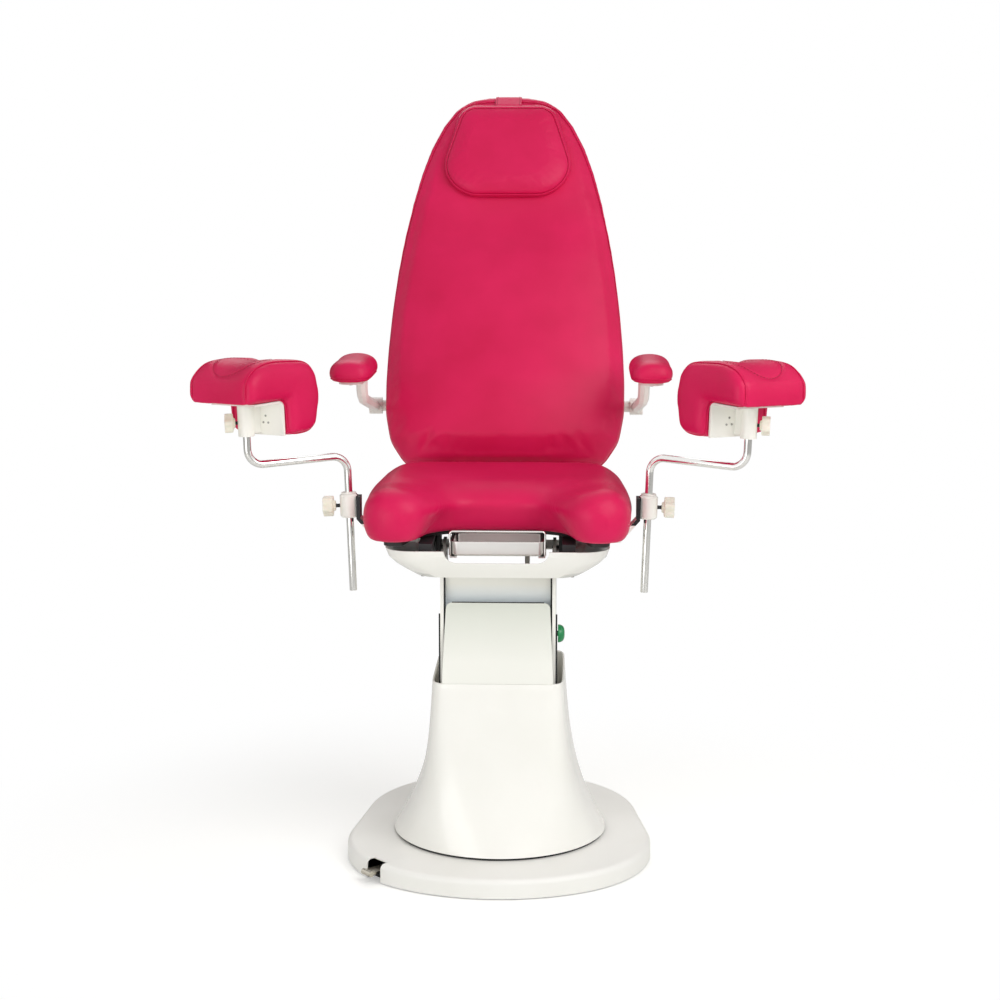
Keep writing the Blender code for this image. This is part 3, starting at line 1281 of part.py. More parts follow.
def headrest_rear(up):
    """Flat rear of the head pad, laid against the padded back. Up counts from the pad's middle."""
    reach = HEAD_HEIGHT / 2
    low = padded_face_between(head_centre_s - reach)
    high = padded_face_between(head_centre_s + reach)
    steps = [step / 20 for step in range(21)]
    bulge = max(low + (high - low) * share - padded_face_between(head_centre_s + (2 * share - 1) * reach)
                for share in steps)
    return low + (high - low) * (up / HEAD_HEIGHT + 0.5) - bulge - SEAT_GAP


def make_strap(frame, finish):
    front = headrest_rear(HEAD_HEIGHT / 2) - HEAD_THICKNESS * 0.25
    top = BACK_TOP + SEAT_GAP + STRAP_THICKNESS / 2
    rear = board_rear + SEAT_GAP + BACK_SHELL_DEPTH + SEAT_GAP + STRAP_THICKNESS / 2
    corners = [(0, front, head_top_s + SEAT_GAP), (0, front, top), (0, rear, top), (0, rear, top - STRAP_DROP)]
    path = [(point.y, point.z) for point in bent(corners, STRAP_BEND)]
    band = prism(strap(path, STRAP_THICKNESS / 2), "YZ", -STRAP_HALF_WIDTH, STRAP_HALF_WIDTH)
    piece(band, "headrest_strap", finish["pink_vinyl"], frame, local=True)


def arm_pad_loop(y, share):
    """Section of an arm pad: flat below, domed above, drawn in towards both ends."""
    loop = []
    half = ARM_PAD_HALF_WIDTH * (0.55 + 0.45 * share)
    height = ARM_PAD_THICKNESS * (0.5 + 0.5 * share)
    for step in range(16):
        angle = 2 * math.pi * (step + 0.5) / 16
        x = math.copysign(abs(math.cos(angle)) ** 0.6, math.cos(angle))
        z = math.copysign(abs(math.sin(angle)) ** 0.6, math.sin(angle))
        loop.append((half * x, y, ARM_PAD_THICKNESS * 0.5 - (ARM_PAD_THICKNESS - height) * 0.35 + height / 2 * z))
    return loop


def make_armrest(side, name, back, finish):
    frame = axis_frame("arm_axis_" + name, back, (0, lug_centre, ARM_PIVOT_S), (BACK_TILT, 0, 0))
    hub_radius = ARM_TUBE_RADIUS + RUN_GAP + ARM_HUB_WALL
    half = ARM_HUB_LENGTH / 2
    hub = cylinder(hub_radius, (side * (ARM_HUB_X - half), 0, 0), (side * (ARM_HUB_X + half), 0, 0))
    plate_low = ARM_PAD_RISE - ARM_PLATE_THICKNESS
    path = bent([
        (side * ARM_HUB_X, -ARM_TUBE_RADIUS, 0),
        (side * ARM_POST_X, -ARM_POST, ARM_ELBOW_RISE),
        (side * ARM_POST_X, -ARM_POST, plate_low + ARM_PLATE_THICKNESS / 2),
    ], ARM_BEND_RADIUS)
    centre = -ARM_PAD_REAR - ARM_PAD_LENGTH / 2
    reach = ARM_PAD_LENGTH * 0.40
    outline = rounded([
        (side * ARM_X - ARM_PLATE_HALF_WIDTH, centre - reach, ARM_PLATE_HALF_WIDTH),
        (side * ARM_X + ARM_PLATE_HALF_WIDTH, centre - reach, ARM_PLATE_HALF_WIDTH),
        (side * ARM_X + ARM_PLATE_HALF_WIDTH, centre + reach, ARM_PLATE_HALF_WIDTH),
        (side * ARM_X - ARM_PLATE_HALF_WIDTH, centre + reach, ARM_PLATE_HALF_WIDTH),
    ])
    bar = welded(hub, tube(path, ARM_TUBE_RADIUS, 2), prism(outline, "XY", plate_low, ARM_PAD_RISE))
    bore = cylinder(ARM_TUBE_RADIUS + RUN_GAP, (side * ARM_HUB_X / 2, 0, 0), (side * ARM_HUB_X * 2, 0, 0))
    piece(cut(bar, bore), "arm_bracket_" + name, finish["white_enamel"], frame, local=True)

    loops = []
    for share in (0.0, 0.02, 0.07, 0.16, 0.32, 0.5, 0.68, 0.84, 0.93, 0.98, 1.0):
        end = min(share, 1 - share) * 2
        swell = math.sqrt(max(0.0, 1 - max(0.0, 1 - end / 0.32) ** 2))
        y = centre + (share - 0.5) * ARM_PAD_LENGTH
        loops.append([(x + side * ARM_X, across, z) for x, across, z in arm_pad_loop(y, swell)])
    pad = loft(loops)
    lowest = min(vertex.co.z for vertex in pad.data.vertices)
    moved(pad, Matrix.Translation((0, 0, ARM_PAD_RISE + SEAT_GAP - lowest)))
    piece(pad, "arm_pad_" + name, finish["pink_vinyl"], frame, local=True)


def make_back(frame, finish):
    make_back_frame(frame, finish)
    make_back_soft(frame, finish)
    make_headrest(frame, finish)
    for side, name in ((-1, "left"), (1, "right")):
        make_armrest(side, name, frame, finish)


# Leg holders: local origin at the middle of the clamp, Z along the leaning rod

def knob(radius, thickness, stud_length):
    """Lobed hand knob along +X. The stud starts at x 0 and the grip follows it."""
    loops = []
    for share, scale in ((0.0, 0.50), (0.12, 0.62), (0.30, 0.97), (0.50, 1.0), (0.86, 1.0), (1.0, 0.90)):
        loop = []
        for step in range(KNOB_LOBES * 4):
            angle = 2 * math.pi * step / (KNOB_LOBES * 4)
            ripple = 1 - 0.09 * (1 + math.cos(KNOB_LOBES * angle)) * min(1.0, share * 4)
            reach = radius * scale * ripple
            loop.append((stud_length + thickness * share, reach * math.cos(angle), reach * math.sin(angle)))
        loops.append(loop)
    stud = cylinder(KNOB_STUD_RADIUS, (0, 0, 0), (stud_length + thickness / 2, 0, 0), SMALL_ROUND)
    return welded(loft(loops), stud)


def make_clamp(side, name, seat, frame, finish):
    half = CLAMP_HEIGHT / 2
    rise = CLAMP_RADIUS * 0.2
    body = drum([
        (CLAMP_RADIUS - rise, -half),
        (CLAMP_RADIUS, -half + rise),
        (CLAMP_RADIUS, half - rise),
        (CLAMP_RADIUS - rise, half),
    ])
    moved(body, frame.matrix_world)
    strap_z = rail_top - CLAMP_STRAP / 2 - SEAT_GAP
    upright = clamp_x - CLAMP_RADIUS - CLAMP_STRAP / 2 + SLIDE_GAP * 2
    path = [
        (side * (rail_outer + SEAT_GAP), strap_z),
        (side * (upright - CLAMP_STRAP * 5), strap_z),
        (side * upright, clamp_z - half),
        (side * upright, clamp_z + half * 0.8),
    ]
    arm = prism(strap(path, CLAMP_STRAP / 2), "XZ", CLAMP_Y - CLAMP_STRAP_HALF_WIDTH, CLAMP_Y + CLAMP_STRAP_HALF_WIDTH)
    bore = moved(cylinder(clamp_bore, (0, 0, -CLAMP_HEIGHT), (0, 0, CLAMP_HEIGHT)), frame.matrix_world)
    stud_hole = cylinder(KNOB_STUD_RADIUS + SEAT_GAP, (0, 0, 0), (side * 2 * CLAMP_RADIUS, 0, 0), SMALL_ROUND)
    body = cut(welded(body, arm), bore, moved(stud_hole, frame.matrix_world))
    piece(body, "leg_clamp_" + name, finish["white_enamel"], seat)

    knob_frame = axis_frame("clamp_knob_axis_" + name, frame)
    stud_start = clamp_bore + SEAT_GAP
    grip = knob(KNOB_RADIUS, KNOB_THICKNESS, CLAMP_RADIUS + CLAMP_KNOB_REACH - stud_start)
    moved(grip, Matrix.Rotation(0 if side > 0 else math.pi, 4, "Z") @ Matrix.Translation((stud_start, 0, 0)))
    piece(grip, "clamp_knob_" + name, finish["ivory_plastic"], knob_frame, local=True)


def make_bush(name, frame, finish):
    half = CLAMP_HEIGHT / 2
    bush = turned([
        (bush_bore, -half), (BUSH_RADIUS, -half), (BUSH_RADIUS, half + SEAT_GAP),
        (BUSH_FLANGE_RADIUS, half + SEAT_GAP), (BUSH_FLANGE_RADIUS, half + BUSH_FLANGE), (bush_bore, half + BUSH_FLANGE),
    ])
    piece(bush, "clamp_bush_" + name, finish["white_enamel"], frame, local=True)


def pad_profile():
    """Hook section of a knee support in (rearward, up), counter-clockwise seen from +X."""
    return rounded([
        (PAD_WALL_FRONT, PAD_BOTTOM, PAD_ROLL * 0.8),
        (PAD_REAR - PAD_ROLL * 0.9, PAD_BOTTOM - SEAT_GAP, PAD_ROLL * 1.6),
        (PAD_REAR, PAD_NOTCH, PAD_ROLL * 3),
        (PAD_REAR - PAD_ROLL * 0.6, PAD_TOP - PAD_ROLL * 0.2, PAD_ROLL * 3.6),
        (0, PAD_TOP, PAD_ROLL * 6),
        (-PAD_FRONT, PAD_TOP - PAD_ROLL * 0.5, PAD_ROLL * 2.4),
        (-PAD_FRONT, PAD_NOTCH, PAD_ROLL * 0.4),
        (PAD_WALL_FRONT, PAD_NOTCH, 0),
    ])


def make_knee_pad(side, name, frame, finish):
    profile = pad_profile()
    loops = []
    for share in (0.0, 0.03, 0.10, 0.22, 0.36, 0.5, 0.64, 0.78, 0.90, 0.97, 1.0):
        end = min(share, 1 - share)
        shrink = PAD_ROLL * 0.7 * max(0.0, 1 - end / 0.12) ** 2
        valley = PAD_VALLEY * math.sin(math.pi * share) ** 2
        loop = []
        for y, z in inset(profile, shrink):
            lift = max(0.0, (z - PAD_NOTCH) / (PAD_TOP - PAD_NOTCH))
            rear = max(0.0, (y - PAD_WALL_FRONT) / (PAD_REAR - PAD_WALL_FRONT))
            loop.append((side * (share - 0.5) * PAD_WIDTH, y - valley * 0.6 * rear, z - valley * lift))
        loops.append(loop)
    piece(loft(loops), "knee_pad_" + name, finish["pink_vinyl"], frame, local=True)


def make_pad_bracket(side, name, frame, finish):
    plate_rear = PAD_WALL_FRONT - SEAT_GAP
    plate_front = plate_rear - BRACKET_SHEET
    top = PAD_NOTCH - SEAT_GAP
    ends = sorted((-side * BRACKET_INNER, side * BRACKET_OUTER))
    plate = box((ends[0], plate_front, BOSS_BOTTOM), (ends[1], plate_rear, top))
    ledge = box((ends[0], -PAD_FRONT * 0.6, top - BRACKET_SHEET), (ends[1], plate_front + SLIDE_GAP, top - SEAT_GAP))
    boss = cylinder(BOSS_RADIUS, (0, 0, BOSS_BOTTOM), (0, 0, top - BRACKET_SHEET / 2))
    web = box((-BOSS_RADIUS * 0.6, 0, BOSS_BOTTOM + BRACKET_SHEET),
              (BOSS_RADIUS * 0.6, plate_front + SLIDE_GAP, top - BRACKET_SHEET / 2))
    bore = cylinder(LEG_ROD_RADIUS + RUN_GAP, (0, 0, 0), (0, 0, LEG_ROD_HEAD + SEAT_GAP), SMALL_ROUND)
    aim = Vector((side * math.cos(PAD_KNOB_TURN), -math.sin(PAD_KNOB_TURN), 0))
    mid = Vector((0, 0, PAD_KNOB_HEIGHT))
    hole = cylinder(KNOB_STUD_RADIUS + SEAT_GAP, mid, mid + aim * 2 * BOSS_RADIUS, SMALL_ROUND)
    bracket = cut(welded(plate, ledge, boss, web), bore, hole)
    piece(bracket, "pad_bracket_" + name, finish["white_enamel"], frame, local=True)

    turn = math.atan2(aim.y, aim.x)
    knob_frame = axis_frame("pad_knob_axis_" + name, frame, mid, (0, 0, turn))
    start = LEG_ROD_RADIUS + RUN_GAP + SEAT_GAP
    grip = knob(KNOB_RADIUS * PAD_KNOB_SCALE, KNOB_THICKNESS * PAD_KNOB_SCALE, BOSS_RADIUS + PAD_KNOB_REACH - start)
    moved(grip, Matrix.Translation((start, 0, 0)))
    piece(grip, "pad_knob_" + name, finish["ivory_plastic"], knob_frame, local=True)


def make_leg(side, name, seat, finish):
    swing = axis_frame("leg_axis_" + name, seat, Vector((side * clamp_x, CLAMP_Y, clamp_z)) - seat.location,
                       (0, side * CLAMP_SPLAY, 0))
    make_clamp(side, name, seat, swing, finish)
    make_bush(name, swing, finish)
    rod_frame = axis_frame("leg_rod_axis_" + name, swing)
    run = Vector((side * math.cos(LEG_RUN_ANGLE), -math.sin(LEG_RUN_ANGLE), 0)) * LEG_ROD_RUN
    elbow = Vector((0, 0, LEG_ROD_RISE))
    path = bent([(0, 0, -LEG_ROD_DROP), elbow, elbow + run, elbow + run + Vector((0, 0, LEG_ROD_HEAD))], LEG_ROD_BEND)
    piece(tube(path, LEG_ROD_RADIUS), "leg_rod_" + name, finish["chrome"], rod_frame, local=True)
    pad_frame = axis_frame("pad_axis_" + name, rod_frame, elbow + run, (0, 0, side * PAD_TURN))
    make_pad_bracket(side, name, pad_frame, finish)
    make_knee_pad(side, name, pad_frame, finish)


def make_finishes():
    return {
        "pink_vinyl": material("pink_vinyl", (0.66, 0.02, 0.11), 0.42),
        "white_plastic": material("white_plastic", (0.86, 0.86, 0.84), 0.25),
        "white_enamel": material("white_enamel", (0.86, 0.86, 0.83), 0.32),
        "grey_plastic": material("grey_plastic", (0.74, 0.74, 0.72), 0.40),
        "blue_grey_enamel": material("blue_grey_enamel", (0.62, 0.69, 0.74), 0.40),
        "ivory_plastic": material("ivory_plastic", (0.80, 0.76, 0.63), 0.40),
        "green_plastic": material("green_plastic", (0.01, 0.25, 0.09), 0.30),
        "dark_plastic": material("dark_plastic", (0.03, 0.03, 0.03), 0.50),
        "black_board": material("black_board", (0.02, 0.02, 0.02), 0.60),
        "dark_steel": material("dark_steel", (0.10, 0.10, 0.11), 0.50, 0.6),
        "steel": material("steel", (0.55, 0.55, 0.55), 0.35, 1.0),
        "stainless": material("stainless", (0.60, 0.59, 0.58), 0.25, 1.0),
        "chrome": material("chrome", (0.70, 0.70, 0.70), 0.15, 1.0),
    }


def main():
    clear_scene()
    finish = make_finishes()
    base = axis_frame("base_frame")
    make_base(base, finish)
    make_pedal(base, finish)
    swivel = axis_frame("swivel_axis", base)
    make_turntable(swivel, finish)
    lift = axis_frame("lift_axis", swivel)
    make_carriage(lift, finish)
    seat = axis_frame("tilt_axis", lift, (0, 0, tilt_z))
    make_seat(seat, finish)
    back = axis_frame("back_axis", seat, (0, BACK_HINGE_Y, back_hinge_z - tilt_z), (-BACK_TILT, 0, 0))
    make_back(back, finish)
    for side, name in ((-1, "left"), (1, "right")):
        make_leg(side, name, seat, finish)


main()
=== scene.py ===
import json
import math
from bisect import bisect_left

import bmesh
import bpy
from mathutils import Matrix, Vector
from mathutils.bvhtree import BVHTree
from mathutils.geometry import intersect_line_line_2d
from mathutils.kdtree import KDTree


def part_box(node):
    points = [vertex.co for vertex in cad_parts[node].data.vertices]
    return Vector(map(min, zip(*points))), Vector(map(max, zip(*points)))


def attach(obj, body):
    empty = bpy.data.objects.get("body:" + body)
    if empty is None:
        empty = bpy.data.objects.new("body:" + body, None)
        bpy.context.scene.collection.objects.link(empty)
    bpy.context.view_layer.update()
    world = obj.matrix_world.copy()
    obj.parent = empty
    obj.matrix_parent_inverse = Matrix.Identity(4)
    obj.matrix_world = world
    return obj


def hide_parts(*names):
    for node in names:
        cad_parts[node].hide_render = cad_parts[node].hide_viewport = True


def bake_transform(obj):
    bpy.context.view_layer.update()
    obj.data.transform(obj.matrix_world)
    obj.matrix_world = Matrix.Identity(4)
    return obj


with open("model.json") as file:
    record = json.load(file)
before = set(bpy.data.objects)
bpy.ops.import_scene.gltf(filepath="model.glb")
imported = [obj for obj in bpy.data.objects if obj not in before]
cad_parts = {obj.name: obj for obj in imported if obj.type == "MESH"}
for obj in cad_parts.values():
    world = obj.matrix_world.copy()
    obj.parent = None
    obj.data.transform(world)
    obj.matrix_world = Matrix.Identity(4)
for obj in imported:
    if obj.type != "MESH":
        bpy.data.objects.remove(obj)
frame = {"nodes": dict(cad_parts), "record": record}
nodes = frame["nodes"]
bodyOf = {node: body for body, members in frame["record"]["behaviour"]["bodies"].items() for node in members}
slotOf = {part["node"]: part["material_slot"] for part in frame["record"]["subparts"]}
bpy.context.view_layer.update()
scene = bpy.context.scene
sides = ((-1, "left"), (1, "right"))
print("frame loaded:", len(nodes), "nodes")

# camera at the photograph's viewing angle
viewpoint = {"azimuth": 2.0, "distance": 4.4, "height": 1.518, "downTilt": 9.5, "lens": 73.8, "sensor": 36}
aim = math.radians(viewpoint["azimuth"])
bpy.ops.object.camera_add(
    location=(viewpoint["distance"] * math.sin(aim), -viewpoint["distance"] * math.cos(aim),
              viewpoint["height"]),
    rotation=(math.radians(90 - viewpoint["downTilt"]), 0, aim))
camera = bpy.context.object
camera.data.lens = viewpoint["lens"]
camera.data.sensor_width = viewpoint["sensor"]
scene.camera = camera
print("camera set")


# small helpers

def pick(obj):
    bpy.ops.object.select_all(action="DESELECT")
    obj.select_set(True)
    bpy.context.view_layer.objects.active = obj


def edit(obj, kind="FACE", everything=True):
    pick(obj)
    bpy.ops.object.mode_set(mode="EDIT")
    bpy.ops.mesh.select_mode(type=kind)
    bpy.ops.mesh.select_all(action="SELECT" if everything else "DESELECT")


def leave():
    bpy.ops.object.mode_set(mode="OBJECT")


def selectFaces(obj, wanted):  # in edit mode, by place or normal
    mesh = bmesh.from_edit_mesh(obj.data)
    for face in mesh.faces:
        face.select_set(wanted(face))
    bmesh.update_edit_mesh(obj.data)


def extrude(way):
    bpy.ops.mesh.extrude_region_move(TRANSFORM_OT_translate={"value": (0, 0, way)})


def applied(obj, kind, **settings):
    pick(obj)
    modifier = obj.modifiers.new(kind.lower(), kind)
    for key, value in settings.items():
        setattr(modifier, key, value)
    bpy.ops.object.modifier_apply(modifier=modifier.name)


def bevelled(obj, width, angle=60, segments=2):
    applied(obj, "BEVEL", width=width, segments=segments, limit_method="ANGLE",
            angle_limit=math.radians(angle))


def smoothShade(obj, angle=38):
    pick(obj)
    bpy.ops.object.shade_smooth_by_angle(angle=math.radians(angle))


def merged(obj, reach):
    edit(obj, "VERT")
    bpy.ops.mesh.remove_doubles(threshold=reach)
    leave()


def outward(obj):
    edit(obj)
    bpy.ops.mesh.normals_make_consistent(inside=False)
    leave()


def started(name, adder, **settings):  # a first form to work on
    bpy.ops.object.select_all(action="DESELECT")
    adder(**settings)
    bpy.context.object.name = name
    return bpy.context.object


def duplicate(name, mesh):
    piece = bpy.data.objects.new(name, mesh.copy())
    scene.collection.objects.link(piece)
    return piece


def put(obj, place):  # the place goes into the mesh, the object stays at the origin
    obj.data.transform(place @ obj.matrix_world)
    obj.matrix_world = Matrix.Identity(4)


def surfaceOf(mesh):
    faces = [face.vertices for face in mesh.polygons]
    return BVHTree.FromPolygons([vertex.co for vertex in mesh.vertices], faces)


def smoothStep(low, high, value):
    share = min(1.0, max(0.0, (value - low) / (high - low)))
    return share * share * (3 - 2 * share)


def swell(across, along, reach):  # a soft hill, 1 in its middle
    return math.exp(-(across / reach[0]) ** 2 - (along / reach[1]) ** 2)


# finishes

def linear(hexColour):
    values = [int(hexColour[place:place + 2], 16) / 255 for place in (1, 3, 5)]
    return tuple(v / 12.92 if v <= 0.04045 else ((v + 0.055) / 1.055) ** 2.4 for v in values) + (1.0,)


def plug(tree, node, inputs):
    for key, value in inputs.items():
        if isinstance(value, bpy.types.Node):  # a node stands for its first output
            value = value.outputs[0]
        if isinstance(value, bpy.types.NodeSocket):
            tree.links.new(value, node.inputs[key])
        else:
            node.inputs[key].default_value = value


def addNode(tree, kind, inputs=None, **settings):
    node = tree.nodes.new("ShaderNode" + kind)
    for key, value in settings.items():
        setattr(node, key, value)
    plug(tree, node, inputs or {})
    return node


def newFinish(name, colour, roughness, metallic=0.0, **constants):
    finish = bpy.data.materials.new(name)
    finish.use_nodes = True
    tree = finish.node_tree
    shader = tree.nodes["Principled BSDF"]
    plug(tree, shader, {"Base Color": linear(colour), "Roughness": roughness, "Metallic": metallic})
    plug(tree, shader, {key.replace("_", " "): value for key, value in constants.items()})
    return finish, tree, shader, addNode(tree, "TexCoord").outputs["Object"]


def noise(tree, where, scale, detail):
    return addNode(tree, "TexNoise", {"Vector": where, "Scale": scale, "Detail": detail})


def ranged(tree, value, span=(0.0, 1.0), ends=(0.0, 1.0), **settings):
    return addNode(tree, "MapRange", {"Value": value, "From Min": span[0], "From Max": span[1],
                                      "To Min": ends[0], "To Max": ends[1]}, **settings)


def tinted(tree, shader, factor, *stops):  # two stops: a place on the ramp and its colour
    ramp = addNode(tree, "ValToRGB", {"Fac": factor})
    for element, (position, colour) in zip(ramp.color_ramp.elements, stops):
        element.position = position
        element.color = linear(colour)
    plug(tree, shader, {"Base Color": ramp})


def glossed(tree, shader, factor, low, high):
    plug(tree, shader, {"Roughness": ranged(tree, factor, ends=(low, high))})


def bumped(tree, shader, height, strength, distance, **under):
    bump = addNode(tree, "Bump", {"Height": height, "Strength": strength, "Distance": distance, **under})
    plug(tree, shader, {"Normal": bump})
    return bump


def makeVinyl():
    # PVC-coated upholstery cloth: soft broad gloss over a leather grain of 1 mm, drawn at 2.6 mm
    look = {"mottle": 9.0, "grain": 0.0026, "crease": 0.22, "pull": 0.035}
    finish, tree, shader, where = newFinish("vinylUpholstery", "#D81854", 0.40, Specular_IOR_Level=0.22)
    mottle = noise(tree, where, look["mottle"], 3.0)
    tinted(tree, shader, mottle, (0.3, "#D2154F"), (0.7, "#DC1B58"))
    glossed(tree, shader, mottle, 0.32, 0.42)
    cells = addNode(tree, "TexVoronoi", {"Vector": where, "Scale": 1 / look["grain"]},
                    feature="DISTANCE_TO_EDGE")
    fine = bumped(tree, shader, ranged(tree, cells, (0.0, look["crease"])), 0.16, 0.0006)
    bumped(tree, shader, noise(tree, where, 1 / look["pull"], 4.0), 0.12, 0.004, Normal=fine)
    return finish


def makeThread():
    # bonded polyester thread: a slightly darker twist against the vinyl
    look = {"twist": 0.004}
    finish, tree, shader, where = newFinish("bondedThread", "#B01C47", 0.6)
    twist = addNode(tree, "TexWave", {"Vector": where, "Scale": 1 / look["twist"]})
    bumped(tree, shader, twist.outputs["Fac"], 0.3, 0.0004)
    return finish


def makeMoulded(name, colour, shade, roughness, grain, depth, **constants):
    # moulded or sprayed skin: faint clouds of colour and gloss over a fine relief
    look = {"cloud": 6.0}
    finish, tree, shader, where = newFinish(name, colour, roughness, **constants)
    clouds = noise(tree, where, look["cloud"], 4.0)
    tinted(tree, shader, clouds, (0.25, shade), (0.6, colour))
    glossed(tree, shader, clouds, roughness * 0.85, roughness * 1.2)
    bumped(tree, shader, noise(tree, where, 1 / grain, 2.0), 0.25, depth)
    return finish


def makeMetal(name, colour, roughness, lay, stretch=(1.0, 1.0, 1.0)):
    # worked metal: scratches run along one direction, so the gloss is drawn out across them
    finish, tree, shader, where = newFinish(name, colour, roughness, 1.0)
    turn = addNode(tree, "Mapping", {"Vector": where, "Scale": stretch})
    scratches = noise(tree, turn, 1 / lay, 5.0)
    glossed(tree, shader, scratches, roughness * 0.7, roughness * 1.35)
    bumped(tree, shader, scratches, 0.08, 0.0005)
    return finish


def makeEnamel(name, colour, span, low, high, drift=0.0):
    # stoved sheet: a tint that changes with height as painted shade, and drifts in clouds, over a fine orange
    # peel
    look = {"cloud": 14.0, "peel": 0.003}
    finish, tree, shader, where = newFinish(name, colour, 0.34)
    place = addNode(tree, "SeparateXYZ", {"Vector": where})
    height = ranged(tree, place.outputs["Z"], span)
    cloud = noise(tree, where, look["cloud"], 3.0)
    factor = addNode(tree, "Math", {0: cloud, 1: drift, 2: height}, operation="MULTIPLY_ADD")
    tinted(tree, shader, factor, low, high)
    peel = noise(tree, where, 1 / look["peel"], 2.0)
    glossed(tree, shader, peel, 0.30, 0.40)
    bumped(tree, shader, peel, 0.2, 0.0003)
    return finish


def makePlywood():
    # black-stained birch plywood: faint grain and darker glue lines through the edge
    look = {"layers": (6.0, 60.0, 500.0)}
    finish, tree, shader, where = newFinish("stainedPlywood", "#1B1A19", 0.55)
    turn = addNode(tree, "Mapping", {"Vector": where, "Scale": look["layers"]})
    grain = noise(tree, turn, 1.0, 6.0)
    tinted(tree, shader, grain, (0.0, "#0F0E0E"), (1.0, "#2A2826"))
    bumped(tree, shader, grain, 0.2, 0.0006)
    return finish


vinyl = makeVinyl()
thread = makeThread()
# gloss ABS with a hint of orange peel, 9 mm waves
glossAbs = makeMoulded("glossAbs", "#FAF9F3", "#F7F6EF", 0.18, 0.009, 0.0004,
                       Coat_Weight=0.2, Coat_Roughness=0.08)
# spark-eroded ABS: 0.6 mm pits, drawn at 1.8 mm
grainedAbs = makeMoulded("grainedAbs", "#F8F7F2", "#F4F3ED", 0.42, 0.0018, 0.0004)
# epoxy powder coat: 1 mm orange peel, drawn at 2.5 mm
powderCoat = makeMoulded("powderCoat", "#F8F7F0", "#F4F3EA", 0.30, 0.0025, 0.0003, Coat_Weight=0.1)
# matt black powder coat on the hidden frame, 1 mm grit drawn at 2 mm
darkCoat = makeMoulded("darkPowderCoat", "#2B2B2D", "#1E1E20", 0.52, 0.002, 0.0003)
# glass-filled nylon: ivory, faintly cloudy
ivoryNylon = makeMoulded("ivoryNylon", "#F3EFE0", "#ECE6D3", 0.38, 0.0016, 0.0002, Subsurface_Weight=0.05)
# acetal push button, smooth and deep green
greenAcetal = makeMoulded("greenAcetal", "#0B8A4C", "#087A42", 0.24, 0.004, 0.0001, Coat_Weight=0.2)
# black ABS of the drive housings, 1 mm texture drawn at 2 mm
blackAbs = makeMoulded("blackAbs", "#1D1D1F", "#151517", 0.45, 0.002, 0.0003)
# flat dull black with faint lighter clouds: painted shade in the column's gaps, and the black ring in the
# slit under the skirt
blackGapFill = makeMoulded("flatBlackGapFill", "#17171A", "#222226", 0.70, 0.003, 0.0004)
polishedSteel = makeMetal("polishedStainlessTube", "#EEEDEA", 0.09, 0.004, (1.0, 1.0, 0.05))
brushedSteel = makeMetal("brushedStainlessSheet", "#F4F2EF", 0.32, 0.0015, (0.04, 1.0, 1.0))
nickelSteel = makeMetal("nickelPlate", "#CBC5B8", 0.22, 0.006)
turnedSteel = makeMetal("turnedSteel", "#A9A8A5", 0.32, 0.002)
# painted shade: the inside of the pressed basin is drawn in dull dark steel, standing for the shade under the
# seat
basinPaintedShade = makeMetal("basinInsidePaintedShade", "#4E4C4B", 0.5, 0.003)
blackScrew = makeMetal("blackenedSteel", "#3A3A3C", 0.40, 0.002)
# blue-grey panel with painted shade: a little darker and cooler towards its lower fold
panelEnamelPaintedShade = makeEnamel("panelEnamelPaintedShade", "#D8DAD1", (0.575, 0.655), (0.05, "#E2EBF0"), (0.55, "#F0F0E7"))
# warm white apron with painted shade: greyer towards the upper edge, where the pan above shades it
apronEnamelPaintedShade = makeEnamel("apronEnamelPaintedShade", "#F4F4EC", (0.455, 0.580), (0.06, "#F2F2EA"), (1.0, "#DCDFD4"), 0.12)
plywood = makePlywood()

finishOfSlot = {
    "pink_vinyl": vinyl, "white_plastic": glossAbs, "grey_plastic": grainedAbs, "white_enamel": powderCoat,
    "blue_grey_enamel": panelEnamelPaintedShade, "dark_steel": darkCoat, "steel": turnedSteel, "stainless": brushedSteel,
    "chrome": polishedSteel, "ivory_plastic": ivoryNylon, "green_plastic": greenAcetal,
    "dark_plastic": blackAbs, "black_board": plywood,
}
ownFinish = {"lock_pedal": nickelSteel, "front_apron": apronEnamelPaintedShade}
for name, node in nodes.items():
    node.data.materials.clear()
    node.data.materials.append(ownFinish.get(name, finishOfSlot[slotOf[name]]))
print("finishes made:", len(bpy.data.materials))


# pieces

def dress(piece, node, finish=None, replace=True, across=None):
    # across: two bodies and two places, for a piece meant to bend from one body to the other; only whether it
    # is given is read, and such a piece is baked in place instead of being attached to a body
    if finish is not None or not piece.data.materials:
        piece.data.materials.clear()
        piece.data.materials.append(finish or nodes[node].data.materials[0])
    if across:
        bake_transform(piece)
    else:
        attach(piece, bodyOf[node])
    if replace:
        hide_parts(node)
    return piece


def copyOf(node, name):  # merged copy of a CAD mesh
    piece = duplicate(name, nodes[node].data)
    piece.data.materials.clear()
    merged(piece, 0.00002)
    bpy.ops.mesh.customdata_custom_splitnormals_clear()
    return piece


def tubeAlong(name, points, radius, closed=False, rounds=6):
    curve = bpy.data.curves.new(name, "CURVE")
    curve.dimensions = "3D"
    curve.bevel_depth = radius
    curve.bevel_resolution = rounds
    curve.use_fill_caps = not closed
    line = curve.splines.new("POLY")
    line.points.add(len(points) - 1)
    for spot, point in zip(line.points, points):
        spot.co = (*point, 1.0)
    line.use_cyclic_u = closed
    tube = bpy.data.objects.new(name, curve)
    scene.collection.objects.link(tube)
    pick(tube)
    bpy.ops.object.convert(target="MESH")
    tube = bpy.context.object
    merged(tube, 0.00001)
    outward(tube)
    smoothShade(tube, 50)
    return tube


